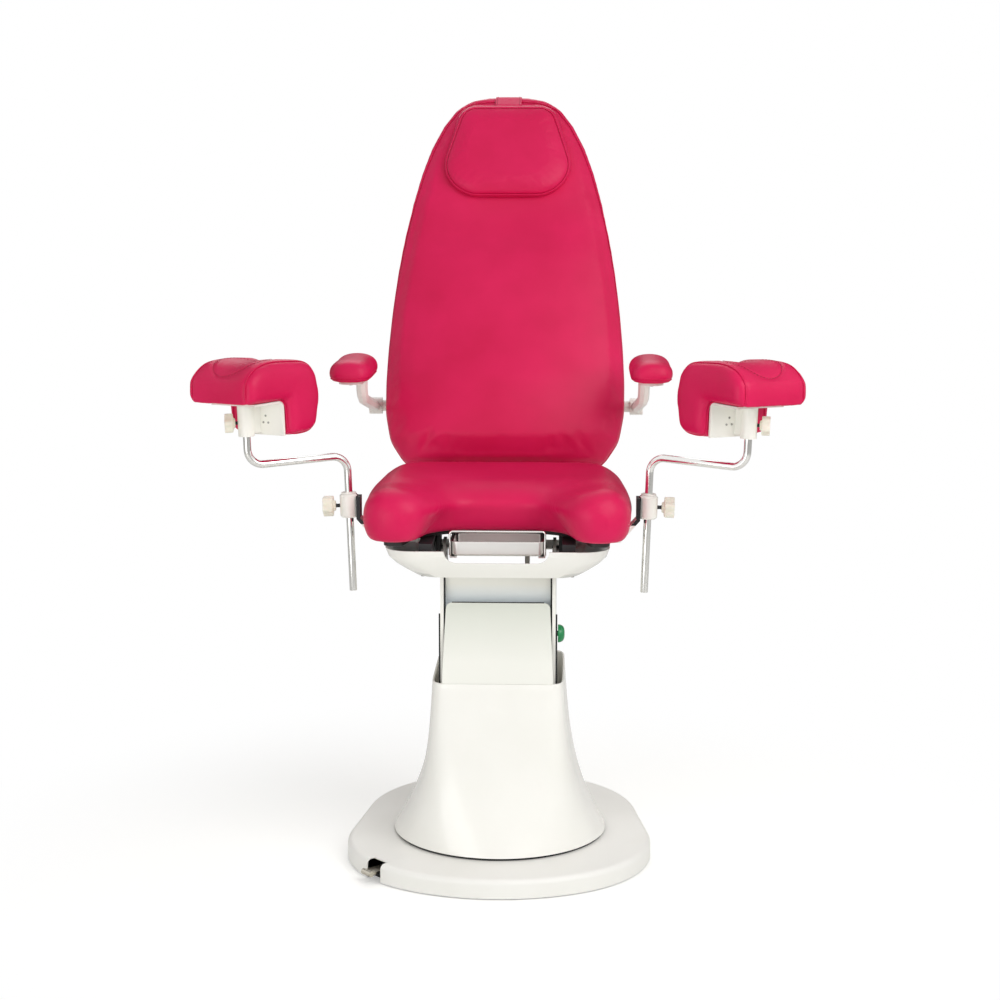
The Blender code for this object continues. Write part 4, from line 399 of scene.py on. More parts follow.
def arcAt(last, corner, following, radius, steps=None):
    # a corner rounded off, by default in steps of 2 degrees
    corner = Vector(corner)
    back, onward = Vector(last) - corner, Vector(following) - corner
    half = back.angle(onward) / 2
    reach = min(radius / math.tan(half), back.length / 2, onward.length / 2)
    centre = corner + (back.normalized() + onward.normalized()).normalized() * (reach / math.cos(half))
    spoke = corner + back.normalized() * reach - centre
    sweep = math.pi - 2 * half
    steps = steps or max(2, math.ceil(sweep / math.radians(2.0)))
    axis = onward.cross(back)
    return [centre + Matrix.Rotation(sweep * step / steps, 3, axis) @ spoke for step in range(steps + 1)]


def bentPath(corners, radius, steps=14):  # straight runs joined by arcs
    points = [Vector(corners[0])]
    for last, corner, following in zip(corners, corners[1:], corners[2:]):
        points += arcAt(last, corner, following, radius, steps)
    return points + [Vector(corners[-1])]


def turned(name, profile, place, count=48):  # rings of a given reach and height about the z axis
    piece = started(name, bpy.ops.mesh.primitive_circle_add, vertices=count, radius=profile[0][0],
                    fill_type="NGON")
    piece.data.transform(Matrix.Translation((0, 0, profile[0][1])))
    edit(piece)
    for (reach, height), (before, last) in zip(profile[1:], profile):
        extrude(height - last)
        bpy.ops.transform.resize(value=(reach / before, reach / before, 1))
    leave()
    outward(piece)
    put(piece, place)
    return piece


def paint(piece, finish, wanted):  # a second finish on some faces
    piece.data.materials.append(finish)
    for face in piece.data.polygons:
        if wanted(face):
            face.material_index = len(piece.data.materials) - 1


# rigid parts that keep the CAD shape, with their edges rounded off
edgeRadius = {
    0.0005: ["button_bezel", "basin_runner_left", "basin_runner_right", "drip_basin"],
    0.0006: ["clamp_bush_left", "clamp_bush_right", "back_rod"],
    0.0008: ["carriage_front_panel"],
    0.0010: ["floor_plate", "arm_bracket_left", "arm_bracket_right", "pad_bracket_left", "pad_bracket_right",
             "tilt_actuator", "back_actuator"],
    0.0012: ["lock_pedal", "front_apron", "seat_board", "back_board", "back_frame", "leg_clamp_left",
             "leg_clamp_right"],
    0.0014: ["under_pan"],
    0.0015: ["seat_rail_left", "seat_rail_right", "front_cross_member", "rear_cross_member", "lift_actuator"],
    0.0016: ["lift_carriage", "back_shell"],
}
recess = {"half": 0.1097, "low": 0.681, "arc": 0.012, "wide": 0.026, "rear": -0.195, "lean": 0.35,
          "slack": 0.0001}
# faces of the leg clamps' upright straps that get painted shade
shadedStrap = {"inner": 0.2920, "outer": 0.3014, "low": 0.748}
basinInside = {"half": 0.0936, "front": -0.1512, "rear": -0.0398, "low": 0.689}


def widenRecess(pan):  # the corners of the scoop over the basin, eased from the CAD's radius to the real one
    half, low, arc, wide = (recess[key] for key in ("half", "low", "arc", "wide"))
    for vertex in pan.data.vertices:
        x, y, z = vertex.co
        if y > recess["rear"] or abs(x) > half + recess["slack"] or z > low + arc + recess["slack"]:
            continue
        turn = math.atan2(abs(x) - (half - arc), low + arc - z)
        vertex.co.x = math.copysign(half - wide * (1 - math.sin(turn)), x)
        vertex.co.z = low + wide * (1 - math.cos(turn))
        vertex.co.y = y - recess["lean"] * (vertex.co.z - z)


def onShadedStrap(face):
    return shadedStrap["inner"] < abs(face.center.x) < shadedStrap["outer"] and face.center.z > shadedStrap["low"]


def inBasin(face):
    return (abs(face.center.x) < basinInside["half"] and face.center.z > basinInside["low"]
            and basinInside["front"] < face.center.y < basinInside["rear"])


for node, width in [(node, width) for width, members in edgeRadius.items() for node in members]:
    piece = copyOf(node, node + "_rounded")
    edit(piece)
    bpy.ops.mesh.dissolve_limited(angle_limit=math.radians(0.4))
    leave()
    if node == "under_pan":
        widenRecess(piece)
    bevelled(piece, width, 42)
    smoothShade(piece, 44)
    applied(piece, "WEIGHTED_NORMAL", keep_sharp=True)
    dress(piece, node)
    if node.startswith("leg_clamp"):  # painted shade: the upright strap is drawn in dark blackened steel for its shadowed side
        edit(piece)
        bpy.ops.mesh.bisect(plane_co=(0, 0, shadedStrap["low"]), plane_no=(0, 0, 1))
        leave()
        paint(piece, blackScrew, onShadedStrap)
    if node == "drip_basin":
        # painted shade on the basin's inside faces
        paint(piece, basinPaintedShade, inBasin)
print("edges rounded")

# trumpet skirt: the CAD rings, made even and subdivided
skirtShape = {"even": 60, "sharp": 50, "crease": 0.85}
skirt = copyOf("pedestal_skirt", "pedestalSkirt")
edit(skirt, "EDGE")
bpy.ops.mesh.tris_convert_to_quads(face_threshold=math.radians(skirtShape["even"]),
                                   shape_threshold=math.radians(skirtShape["even"]))
bpy.ops.mesh.select_all(action="DESELECT")
bpy.ops.mesh.edges_select_sharp(sharpness=math.radians(skirtShape["sharp"]))
bpy.ops.transform.edge_crease(value=skirtShape["crease"])
leave()
applied(skirt, "SUBSURF", levels=2, render_levels=2)
smoothShade(skirt, 40)
dress(skirt, "pedestal_skirt")

# black ring in the slit under the skirt, which draws the slit as a dark line
lip = {"radius": 0.2315, "low": 0.0431, "high": 0.0474, "width": 0.006, "edge": 0.0012}
lipRing = started("skirtLip", bpy.ops.mesh.primitive_circle_add, vertices=96, radius=lip["radius"])
edit(lipRing, "EDGE")
bpy.ops.transform.translate(value=(0, 0, lip["low"]))
extrude(lip["high"] - lip["low"])
leave()
applied(lipRing, "SOLIDIFY", thickness=lip["width"], offset=-1.0)
bevelled(lipRing, lip["edge"], 30)
smoothShade(lipRing)
dress(lipRing, "pedestal_skirt", blackGapFill, replace=False)
print("pedestal done")

# painted shade: black strips stand for the shadow gaps of the column, one inside and one outside each side
# plate, and one along the apron's upper edge
gapShade = {"low": 0.195, "radius": 0.0018, "end": 0.0008, "inner": (0.1138, -0.1195, 0.640),
        "outer": (0.1250, -0.1255, 0.556)}
for side, hand in sides:
    for row in ("inner", "outer"):
        x, y, high = gapShade[row]
        shadeTube = tubeAlong("columnShadowLine_%s_%s" % (row, hand), [(side * x, y, gapShade["low"]), (side * x, y, high)],
                         gapShade["radius"])
        bevelled(shadeTube, gapShade["end"])
        smoothShade(shadeTube, 50)
        dress(shadeTube, "lift_carriage", blackGapFill, replace=False)
apronShadeBand = {"half": 0.0985, "y": -0.1238, "z": 0.5806, "radius": 0.0013}
apronShadeTube = tubeAlong("apronShadowLine", [(side * apronShadeBand["half"], apronShadeBand["y"], apronShadeBand["z"]) for side in (-1, 1)],
                    apronShadeBand["radius"])
dress(apronShadeTube, "front_apron", blackGapFill, replace=False)

# push button: a domed cap that reaches round the bezel
buttonShape = {"y": -0.080, "z": 0.504, "profile": [
    (0.0058, 0.1163), (0.0058, 0.1322), (0.0176, 0.1320), (0.0184, 0.1308), (0.0184, 0.1279),
    (0.0193, 0.1279), (0.0194, 0.1302), (0.0188, 0.1338), (0.0172, 0.1371), (0.0143, 0.1398),
    (0.0101, 0.1416), (0.0052, 0.1424)]}
capPlace = Matrix.Translation((0, buttonShape["y"], buttonShape["z"])) @ Matrix.Rotation(math.pi / 2, 4, "Y")
button = turned("greenButton", buttonShape["profile"], capPlace)
smoothShade(button, 50)
dress(button, "green_button")
print("column trim done")

# base cover, drawn again on a finer outline
baseShape = {
    "corners": [(0, -0.399, 0.390), (0.359, -0.215, 0.280), (0.267, 0.421, 0.305),
                (-0.267, 0.421, 0.305), (-0.359, -0.215, 0.280)],
    "low": 0.002, "high": 0.0426, "rim": 0.012, "rimSteps": 6, "wall": 0.004, "opening": 0.222,
    "spokes": 160, "pedalTurn": 223, "notchFrom": 0.3355, "notchSize": (0.2, 0.048, 0.3), "edge": 0.0010,
}


def reachOf(outline, angle):  # how far the outline is from the middle, one way
    tip = (math.cos(angle), math.sin(angle))
    hits = [intersect_line_line_2d((0, 0), tip, first, second)
            for first, second in zip(outline, outline[1:] + outline[:1])]
    return max(hit.length for hit in hits if hit)


baseOutline = []
places = [(x, y, 0) for x, y, radius in baseShape["corners"]]
for index, (x, y, radius) in enumerate(baseShape["corners"]):
    arc = arcAt(places[index - 1], places[index], places[(index + 1) % len(places)], radius)
    baseOutline += [point.xy for point in arc]
spokes = baseShape["spokes"]
reaches = [reachOf(baseOutline, math.tau * index / spokes) for index in range(spokes)]
cover = started("baseCover", bpy.ops.mesh.primitive_circle_add, vertices=spokes, radius=baseShape["opening"])
for vertex in cover.data.vertices:
    vertex.co.z = baseShape["high"]
turns = [math.pi / 2 * step / baseShape["rimSteps"] for step in range(baseShape["rimSteps"] + 1)]
rimProfile = [(baseShape["rim"] * (1 - math.sin(turn)),
               baseShape["high"] - baseShape["rim"] * (1 - math.cos(turn))) for turn in turns]
edit(cover, "EDGE")
for drawn, height in rimProfile + [(0.0, baseShape["low"])]:
    bpy.ops.mesh.extrude_region_move()
    mesh = bmesh.from_edit_mesh(cover.data)
    for vertex in mesh.verts:
        if vertex.select:
            spoke = round(math.atan2(vertex.co.y, vertex.co.x) * spokes / math.tau) % spokes
            angle = math.tau * spoke / spokes
            far = reaches[spoke] - drawn
            vertex.co = (far * math.cos(angle), far * math.sin(angle), height)
    bmesh.update_edit_mesh(cover.data)
leave()
outward(cover)
if cover.data.polygons[0].normal.z < 0:
    cover.data.flip_normals()
applied(cover, "SOLIDIFY", thickness=baseShape["wall"], offset=-1.0)
notch = started("pedalNotch", bpy.ops.mesh.primitive_cube_add, size=1)
notch.scale = baseShape["notchSize"]
bpy.context.view_layer.update()
put(notch, Matrix.Rotation(math.radians(baseShape["pedalTurn"]), 4, "Z")
    @ Matrix.Translation((baseShape["notchFrom"] + baseShape["notchSize"][0] / 2, 0, 0)))
applied(cover, "BOOLEAN", object=notch, operation="DIFFERENCE", solver="EXACT")
bpy.data.objects.remove(notch)
bevelled(cover, baseShape["edge"])
smoothShade(cover, 40)
applied(cover, "WEIGHTED_NORMAL", keep_sharp=True)
dress(cover, "base_cover")
print("base done")

# leg-holder rods and their places, as in the CAD
legShape = {"clamp": (0.318, -0.100, 0.7855), "splay": 2.0, "radius": 0.008, "drop": 0.185, "rise": 0.1075,
            "run": 0.2234, "runTurn": 30.0, "head": 0.115, "bend": 0.034, "padTurn": 36.0, "edge": 0.0016}


def clampPlace(side):
    x, y, z = legShape["clamp"]
    splay = math.radians(side * legShape["splay"])
    return Matrix.Translation((side * x, y, z)) @ Matrix.Rotation(splay, 4, "Y")


def rodElbow(side):
    turn = math.radians(legShape["runTurn"])
    run = Vector((side * math.cos(turn), -math.sin(turn), 0)) * legShape["run"]
    return Vector((0, 0, legShape["rise"])), Vector((0, 0, legShape["rise"])) + run


def padPlace(side):
    return (clampPlace(side) @ Matrix.Translation(rodElbow(side)[1])
            @ Matrix.Rotation(math.radians(side * legShape["padTurn"]), 4, "Z"))


for side, hand in sides:
    low, high = rodElbow(side)
    corners = [(0, 0, -legShape["drop"]), low, high, high + Vector((0, 0, legShape["head"]))]
    rod = tubeAlong("legRod_" + hand, bentPath(corners, legShape["bend"]), legShape["radius"], rounds=8)
    put(rod, clampPlace(side))
    bevelled(rod, legShape["edge"], segments=3)
    smoothShade(rod, 50)
    dress(rod, "leg_rod_" + hand)
print("leg rods done")

# hand knobs: one is modelled, then copied
knobShape = {"radius": 0.023, "thickness": 0.022, "lobes": 5, "hollow": 0.10, "collar": 0.0115,
             "collarDepth": 0.005, "stud": 0.004, "studLength": 0.0205, "blackFrom": -0.0055,
             "dish": ((0.008, -0.0022), (0.008, 0.0012)), "edge": 0.0026}
knobSeat = {"clamp": 0.034, "padTurn": 42, "padReach": 0.026, "padHeight": 0.090,
            "padSize": (0.9, 0.9, 0.8, 1.0)}


def makeKnob():
    knob = started("masterKnob", bpy.ops.mesh.primitive_cylinder_add, vertices=60, radius=knobShape["radius"],
                   depth=knobShape["thickness"], location=(0, 0, knobShape["thickness"] / 2))
    put(knob, Matrix.Identity(4))
    edit(knob, everything=False)
    selectFaces(knob, lambda face: face.normal.z < -0.9)
    bpy.ops.mesh.inset(thickness=knobShape["radius"] - knobShape["collar"])
    extrude(-knobShape["collarDepth"])
    bpy.ops.mesh.inset(thickness=knobShape["collar"] - knobShape["stud"])
    extrude(knobShape["collarDepth"] - knobShape["studLength"])
    selectFaces(knob, lambda face: face.normal.z > 0.9)
    for inset, rise in knobShape["dish"]:
        bpy.ops.mesh.inset(thickness=inset)
        bpy.ops.transform.translate(value=(0, 0, rise))
    leave()
    for vertex in knob.data.vertices:
        if vertex.co.xy.length > knobShape["collar"] + 0.001:
            lobe = math.cos(knobShape["lobes"] * math.atan2(vertex.co.y, vertex.co.x))
            vertex.co.xy *= 1 - knobShape["hollow"] * (1 + lobe)
    bevelled(knob, knobShape["edge"], 50, 4)
    merged(knob, 0.00001)  # the two bevels of the collar meet in its middle
    knob.data.materials.append(ivoryNylon)
    paint(knob, blackScrew, lambda face: face.center.z < knobShape["blackFrom"])
    smoothShade(knob, 40)
    return knob


def pointing(place, start, direction):  # turns the z axis to a direction
    turn = Vector((0, 0, 1)).rotation_difference(Vector(direction)).to_matrix().to_4x4()
    return place @ Matrix.Translation(start) @ turn


masterKnob = makeKnob()
for side, hand in sides:
    knob = duplicate("clampKnob_" + hand, masterKnob.data)
    put(knob, pointing(clampPlace(side), (side * knobSeat["clamp"], 0, 0), (side, 0, 0)))
    dress(knob, "clamp_knob_" + hand)
    knob = duplicate("padKnob_" + hand, masterKnob.data)
    turn = math.radians(knobSeat["padTurn"])
    direction = Vector((side * math.cos(turn), -math.sin(turn), 0))
    start = direction * knobSeat["padReach"] + Vector((0, 0, knobSeat["padHeight"]))
    put(knob, pointing(padPlace(side), start, direction) @ Matrix.Diagonal(knobSeat["padSize"]))
    dress(knob, "pad_knob_" + hand)
bpy.data.objects.remove(masterKnob)
print("knobs done")

# small socket screws, modelled once: three on each knee plate, the others under the arm pads and the pan
screwShape = {"radius": 0.0042, "height": 0.0026, "socket": 0.0022, "depth": 0.0016, "edge": 0.0006}
screwPlaces = {"plate": ((0.026, 0.102), (0.033, 0.088), (0.019, 0.088)), "plateFace": 0.0327,
               "plateSize": 0.55, "arm": ((0.328, 0.048, 1.0288), (0.328, 0.115, 1.0288)),
               "pan": ((0.158, -0.150, 0.645), (0.158, 0.125, 0.645))}
masterScrew = started("masterScrew", bpy.ops.mesh.primitive_cylinder_add, vertices=24,
                      radius=screwShape["radius"], depth=screwShape["height"],
                      location=(0, 0, screwShape["height"] / 2))
put(masterScrew, Matrix.Identity(4))
edit(masterScrew, everything=False)
selectFaces(masterScrew, lambda face: face.normal.z > 0.9)
bpy.ops.mesh.inset(thickness=screwShape["radius"] - screwShape["socket"])
extrude(-screwShape["depth"])
leave()
bevelled(masterScrew, screwShape["edge"], 50)
smoothShade(masterScrew)


def screwAt(name, node, place, finish, size=1.0):
    screw = duplicate(name, masterScrew.data)
    put(screw, place @ Matrix.Scale(size, 4))
    dress(screw, node, finish, replace=False)


for side, hand in sides:
    for index, (across, height) in enumerate(screwPlaces["plate"]):
        start = (-side * across, screwPlaces["plateFace"], height)
        screwAt("plateScrew_%s_%d" % (hand, index), "pad_bracket_" + hand,
                pointing(padPlace(side), start, (0, -1, 0)), turnedSteel, screwPlaces["plateSize"])
    for kind, node, finish in (("arm", "arm_bracket_" + hand, blackScrew), ("pan", "under_pan", turnedSteel)):
        for index, (x, y, z) in enumerate(screwPlaces[kind]):
            screwAt("%sScrew_%s_%d" % (kind, hand, index), node,
                    pointing(Matrix.Identity(4), (side * x, y, z), (0, 0, -1)), finish)
bpy.data.objects.remove(masterScrew)
print("screws done")

# bright wire frame that stands in front of the basin, on the runners' ends
wireShape = {"half": 0.1006, "y": -0.1580, "low": 0.690, "high": 0.7405, "bend": 0.006, "radius": 0.0021}
wire = bentPath([(side * wireShape["half"], wireShape["y"], wireShape[end])
                 for side, end in ((-1, "low"), (-1, "high"), (1, "high"), (1, "low"))], wireShape["bend"], 8)
dress(tubeAlong("basinWire", wire, wireShape["radius"]), "basin_runner_left", polishedSteel, replace=False)

# upholstery: each pad is a cloth skin filled from inside
filling = {"frames": 20, "quickShare": 0.7, "drawnIn": 0.4, "restFacing": (0.80, 0.96), "cloth": {
    "quality": 3, "mass": 0.3, "tension_stiffness": 12, "compression_stiffness": 12, "bending_stiffness": 0.6,
    "use_pressure": True, "uniform_pressure_force": 4.0, "vertex_group_mass": "held"}}


def softCopy(node, name, shape, held):
    # remeshed copy, drawn in a little except where it rests on something, then filled
    piece = copyOf(node, name)
    applied(piece, "REMESH", mode="VOXEL", voxel_size=shape["voxel"], use_smooth_shade=True)
    applied(piece, "SMOOTH", factor=0.5, iterations=shape["ease"])
    rest = piece.vertex_groups.new(name="held")
    normals = [vertex.normal.copy() for vertex in piece.data.vertices]
    for vertex, normal in zip(piece.data.vertices, normals):
        grip = max(smoothStep(*filling["restFacing"], normal.dot(Vector(way))) for way in held)
        rest.add([vertex.index], grip, "REPLACE")
        vertex.co -= normal * shape.get("drawIn", 0.0) * (1 - grip)
    fill(piece, shape["cap"])
    return piece


def fill(piece, cap):
    # the skin swells by half of the cap everywhere, and by half of how far the cloth is blown out or drawn in
    start = [(vertex.co.copy(), vertex.normal.copy()) for vertex in piece.data.vertices]
    grip = [piece.vertex_groups["held"].weight(vertex.index) for vertex in piece.data.vertices]
    pick(piece)
    cloth = piece.modifiers.new("filling", "CLOTH")
    for key, value in filling["cloth"].items():
        setattr(cloth.settings, key, value)
    cloth.settings.effector_weights.gravity = 0
    cloth.point_cache.frame_start = 1
    cloth.point_cache.frame_end = filling["frames"]
    for step in range(1, filling["frames"] + 1):
        scene.frame_set(step)
    bpy.ops.object.modifier_apply(modifier=cloth.name)
    scene.frame_set(1)
    for vertex, (place, normal), held in zip(piece.data.vertices, start, grip):
        blown = min(cap, max(-filling["drawnIn"] * cap, (vertex.co - place).dot(normal)))
        vertex.co = place + normal * (cap + blown) / 2 * (1 - held)


def sculpt(piece, field):
    normals = [vertex.normal.copy() for vertex in piece.data.vertices]
    for vertex, normal in zip(piece.data.vertices, normals):
        vertex.co += field(vertex.co, normal)


def seamLine(piece, point, normal, spacing):
    # where a plane meets the finished pad: the longest loop, evenly spaced and eased
    cut = duplicate("cut", piece.data)
    edit(cut, "VERT")
    bpy.ops.mesh.bisect(plane_co=point, plane_no=normal, clear_inner=True, clear_outer=True)
    leave()
    pick(cut)
    bpy.ops.object.convert(target="CURVE")
    line = max(bpy.context.object.data.splines, key=lambda spline: len(spline.points))
    loop = [Vector(spot.co[:3]) for spot in line.points]
    bpy.data.objects.remove(bpy.context.object)
    return evened(loop, spacing)


def runOf(line):  # how far along the line each of its points is
    run = [0.0]
    for first, second in zip(line, line[1:]):
        run.append(run[-1] + (second - first).length)
    return run


def spotOn(line, run, distance):
    distance = min(run[-1], max(0.0, distance))
    index = max(0, bisect_left(run, distance) - 1)
    share = (distance - run[index]) / max(1e-9, run[index + 1] - run[index])
    return line[index].lerp(line[index + 1], share)


def evened(loop, spacing):
    ring = loop + loop[:1]
    run = runOf(ring)
    count = max(8, round(run[-1] / spacing))
    points = [spotOn(ring, run, run[-1] * step / count) for step in range(count)]
    for turn in range(3):
        points = [(points[i - 1] + points[i] * 2 + points[(i + 1) % count]) / 4 for i in range(count)]
    return points


def groove(piece, points, depth, width):
    tree = KDTree(len(points))
    for index, point in enumerate(points):
        tree.insert(point, index)
    tree.balance()
    sculpt(piece, lambda place, normal: -normal * depth * math.exp(-(tree.find(place)[2] / width) ** 2))


def seamed(pad, name, node, point, normal, seam):  # a groove along a plane, with piping in it
    line = seamLine(pad, point, normal, seam["spacing"])
    groove(pad, line, seam["depth"], seam["width"])
    dress(tubeAlong(name, line, seam["radius"], True, rounds=3), node, vinyl, replace=False)


def upholstered(piece, node):
    applied(piece, "SUBSURF", levels=1, render_levels=1)
    smoothShade(piece, 180)
    dress(piece, node, vinyl)


stitchShape = {"length": 0.0042, "taper": (0.4, 0.4, 1.15)}


def stitches(name, node, points, radius, closed=True, across=None):
    single = started("stitch", bpy.ops.mesh.primitive_cylinder_add, vertices=6, radius=radius,
                     depth=stitchShape["length"])
    edit(single, everything=False)
    selectFaces(single, lambda face: abs(face.normal.z) > 0.9)
    bpy.ops.mesh.extrude_region_move()
    bpy.ops.transform.resize(value=stitchShape["taper"])
    leave()
    row = []
    for point, following in zip(points, points[1:] + points[:1] if closed else points[1:]):
        stitch = duplicate(name, single.data)
        put(stitch, pointing(Matrix.Identity(4), point, (following - point).normalized()))
        row.append(stitch)
    bpy.data.objects.remove(single)
    pick(row[0])
    for stitch in row:
        stitch.select_set(True)
    bpy.ops.object.join()
    whole = bpy.context.object
    whole.name = name
    smoothShade(whole, 50)
    dress(whole, node, thread, replace=False, across=across)


# seat cushion: waterfall front, raised sides, pulled skin at the inner corners of the cut-out
seatShape = {
    "voxel": 0.007, "cap": 0.011, "ease": 26, "settle": 14, "middle": (0.05, 0.23), "upper": (0.760, 0.805),
    "slope": 0.011, "slopeAlong": (0.14, -0.11), "slopeUp": (0.765, 0.825),
    "crest": 0.009, "crestAlong": (-0.02, -0.10),
    "shoulder": 0.026, "corner": (0.142, -0.160), "cornerReach": (0.060, 0.070),
    "tip": 0.005, "tipAlong": (-0.13, -0.23), "tipFacing": (0.0, 0.8),
    "droop": 0.009, "board": 0.727, "overhang": (0.006, 0.024), "droopFacing": (0.1, -0.5),
}
seatFolds = {"count": 3, "start": (0.176, -0.232, 0.742), "startStep": (-0.012, 0.026, 0.0),
             "end": (0.158, -0.200, 0.786), "endStep": (-0.014, 0.030, -0.005), "depth": 0.0038,
             "depthStep": -0.0008, "width": 0.0050, "points": 20}
seat = softCopy("seat_cushion", "seatCushion", seatShape, [(0, 0, -1)])
boardSurface = surfaceOf(nodes["seat_board"].data)


def seatField(place, normal):
    shape = seatShape
    middle = 1 - smoothStep(*shape["middle"], abs(place.x))
    upper = smoothStep(*shape["upper"], place.z)
    slope = (shape["slope"] * middle * smoothStep(*shape["slopeAlong"], place.y)
             * smoothStep(*shape["slopeUp"], place.z))
    crest = shape["crest"] * middle * upper * smoothStep(*shape["crestAlong"], place.y)
    corner = swell(abs(place.x) - shape["corner"][0], place.y - shape["corner"][1], shape["cornerReach"])
    shoulder = shape["shoulder"] * corner * upper
    tip = (shape["tip"] * upper * smoothStep(*shape["tipAlong"], place.y)
           * smoothStep(*shape["tipFacing"], normal.z))
    # the skin hangs a little past the board that it is stapled under
    beyond = boardSurface.find_nearest(Vector((place.x, place.y, shape["board"])))[3]
    droop = (shape["droop"] * smoothStep(*shape["overhang"], beyond)
             * smoothStep(*shape["droopFacing"], normal.z))
    return Vector((normal.x * shoulder, normal.y * shoulder - crest, tip - slope - droop))


sculpt(seat, seatField)
applied(seat, "SMOOTH", factor=0.5, iterations=seatShape["settle"])
upholstered(seat, "seat_cushion")
for side in (-1, 1):
    for fold in range(seatFolds["count"]):
        start = Vector(seatFolds["start"]) + Vector(seatFolds["startStep"]) * fold
        end = Vector(seatFolds["end"]) + Vector(seatFolds["endStep"]) * fold
        start.x, end.x = side * start.x, side * end.x
        line = [start.lerp(end, step / seatFolds["points"]) for step in range(seatFolds["points"] + 1)]
        groove(seat, line, seatFolds["depth"] + seatFolds["depthStep"] * fold, seatFolds["width"])
print("seat cushion done")

# back cushion: neck hollow, seam along the outline
backShape = {
    "hinge": (0, 0.25, 0.745), "lean": -22, "voxel": 0.007, "drawIn": 0.003, "cap": 0.010, "ease": 4,
    "front": (0.3, 0.95),
    "hollow": 0.011, "neck": 0.64, "neckReach": (0.15, 0.075),
    "lumbar": 0.008, "loin": 0.215, "loinReach": (0.19, 0.10),
    "crown": 0.005, "crownUp": (0.90, 0.975), "crownDepth": (0.020, 0.032),
    "belly": 0.012, "bellyHalf": 0.25, "bellyTop": (0.70, 0.56), "bellyFoot": (0.03, 0.15),
    "seamAt": (0, -0.010, 0.5), "seam": {"spacing": 0.006, "depth": 0.0022, "width": 0.005, "radius": 0.0013},
}
backPlace = (Matrix.Translation(backShape["hinge"])
             @ Matrix.Rotation(math.radians(backShape["lean"]), 4, "X"))
toBack = backPlace.inverted()
backRear = backPlace.to_3x3() @ Vector((0, 1, 0))
backUp = backPlace.to_3x3() @ Vector((0, 0, 1))
back = softCopy("backrest_cushion", "backCushion", backShape, [backRear])


def backField(place, normal):
    shape = backShape
    local = toBack @ place
    front = smoothStep(*shape["front"], -normal.dot(backRear))
    neck = swell(local.x, local.z - shape["neck"], shape["neckReach"])
    loin = swell(local.x, local.z - shape["loin"], shape["loinReach"])
    crown = smoothStep(*shape["crownUp"], local.z) * (1 - smoothStep(*shape["crownDepth"], local.y))
    belly = (max(0.0, 1 - (local.x / shape["bellyHalf"]) ** 2) * smoothStep(*shape["bellyTop"], local.z)
             * smoothStep(*shape["bellyFoot"], local.z))
    push = shape["hollow"] * neck - shape["lumbar"] * loin - shape["belly"] * belly
    return backRear * front * push + backUp * crown * shape["crown"]


sculpt(back, backField)
upholstered(back, "backrest_cushion")
seamed(back, "backSeam", "backrest_cushion", backPlace @ Vector(backShape["seamAt"]), backRear,
       backShape["seam"])
print("back cushion done")

# head pad: soft panel with a fine piped edge, held by a strap over the top of the back
headShape = {"voxel": 0.004, "drawIn": 0.001, "cap": 0.005, "ease": 8, "seamShare": 0.42, "seamUp": 0.83,
             "seam": {"spacing": 0.004, "depth": 0.0026, "width": 0.0030, "radius": 0.0015}}
head = softCopy("headrest_pad", "headPad", headShape, [backRear])
upholstered(head, "headrest_pad")
headDepths = [(toBack @ vertex.co).y for vertex in head.data.vertices]
edgeDepth = min(headDepths) + (max(headDepths) - min(headDepths)) * headShape["seamShare"]
seamed(head, "headSeam", "headrest_pad", backPlace @ Vector((0, edgeDepth, headShape["seamUp"])), backRear,
       headShape["seam"])
print("head pad done")

strapShape = {
    "halfWidth": 0.031, "thickness": 0.0024, "clear": 0.0005, "along": 110, "across": 10, "edge": 0.0011,
    "margin": 0.006, "lowest": 0.86, "end": 0.003, "upright": 0.03, "gap": 0.0004, "reach": 0.006,
    "probes": 60, "probeStep": 0.003, "probeLow": 0.004, "probeFrom": 0.4, "probeClear": 0.0002,
    "way": (0, 1, 0.6), "feed": (0.0035, 0.047), "stitch": 0.0058, "stitchReach": 0.004, "stitchIn": 0.0045,
    "stitchRadius": 0.0008,
}


def tightAround(points):  # upper hull of points in a plane, from front to rear
    chain = []
    for point in sorted(points, key=lambda spot: (spot.x, spot.y)):
        while len(chain) > 1 and (chain[-1] - chain[-2]).cross(point - chain[-1]) >= 0:
            chain.pop()
        chain.append(point)
    return chain


def strapProfile():
    shape = strapShape
    wrapped = []
    for obj in (back, nodes["back_board"], nodes["back_shell"]):
        for vertex in obj.data.vertices:
            spot = toBack @ vertex.co
            if abs(spot.x) < shape["halfWidth"] + shape["margin"] and spot.z > shape["lowest"]:
                wrapped.append(Vector((spot.y, spot.z)))
    band = [toBack @ vertex.co for vertex in nodes["headrest_strap"].data.vertices]
    front = min(point.y for point in band) + shape["end"]
    rear = max(point.y for point in band) - shape["end"]
    foot = min(point.z for point in band if point.y < front)
    tail = min(point.z for point in band if point.y > rear)
    shell = surfaceOf(nodes["back_shell"].data)
    for step in range(shape["probes"]):  # the shell's rear face has few points of its own
        height = tail - shape["probeLow"] + shape["probeStep"] * step
        for share in (-1, 0, 1):
            start = backPlace @ Vector((share * shape["halfWidth"], shape["probeFrom"], height))
            hit = shell.ray_cast(start, -backRear)[0]
            if hit is not None:
                spot = toBack @ hit
                wrapped.append(Vector((spot.y, spot.z)))
                rear = max(rear, spot.y + shape["probeClear"])
    first, last = Vector((front, foot)), Vector((rear, tail + shape["upright"]))
    path = [first] + tightAround(wrapped + [first, last])[1:-1] + [last, Vector((rear, tail))]
    return [spot for index, spot in enumerate(path)
            if index == 0 or (spot - path[index - 1]).length > shape["gap"]]


strapPath = strapProfile()
strapRun = runOf(strapPath)


def strapPoint(across, distance, reach, rise):  # a place above the path
    before, spot, after = (spotOn(strapPath, strapRun, distance + step) for step in (-reach, 0, reach))
    along = (after - before).normalized()
    spot += Vector((-along.y, along.x)) * rise
    return backPlace @ Vector((across, spot.x, spot.y))


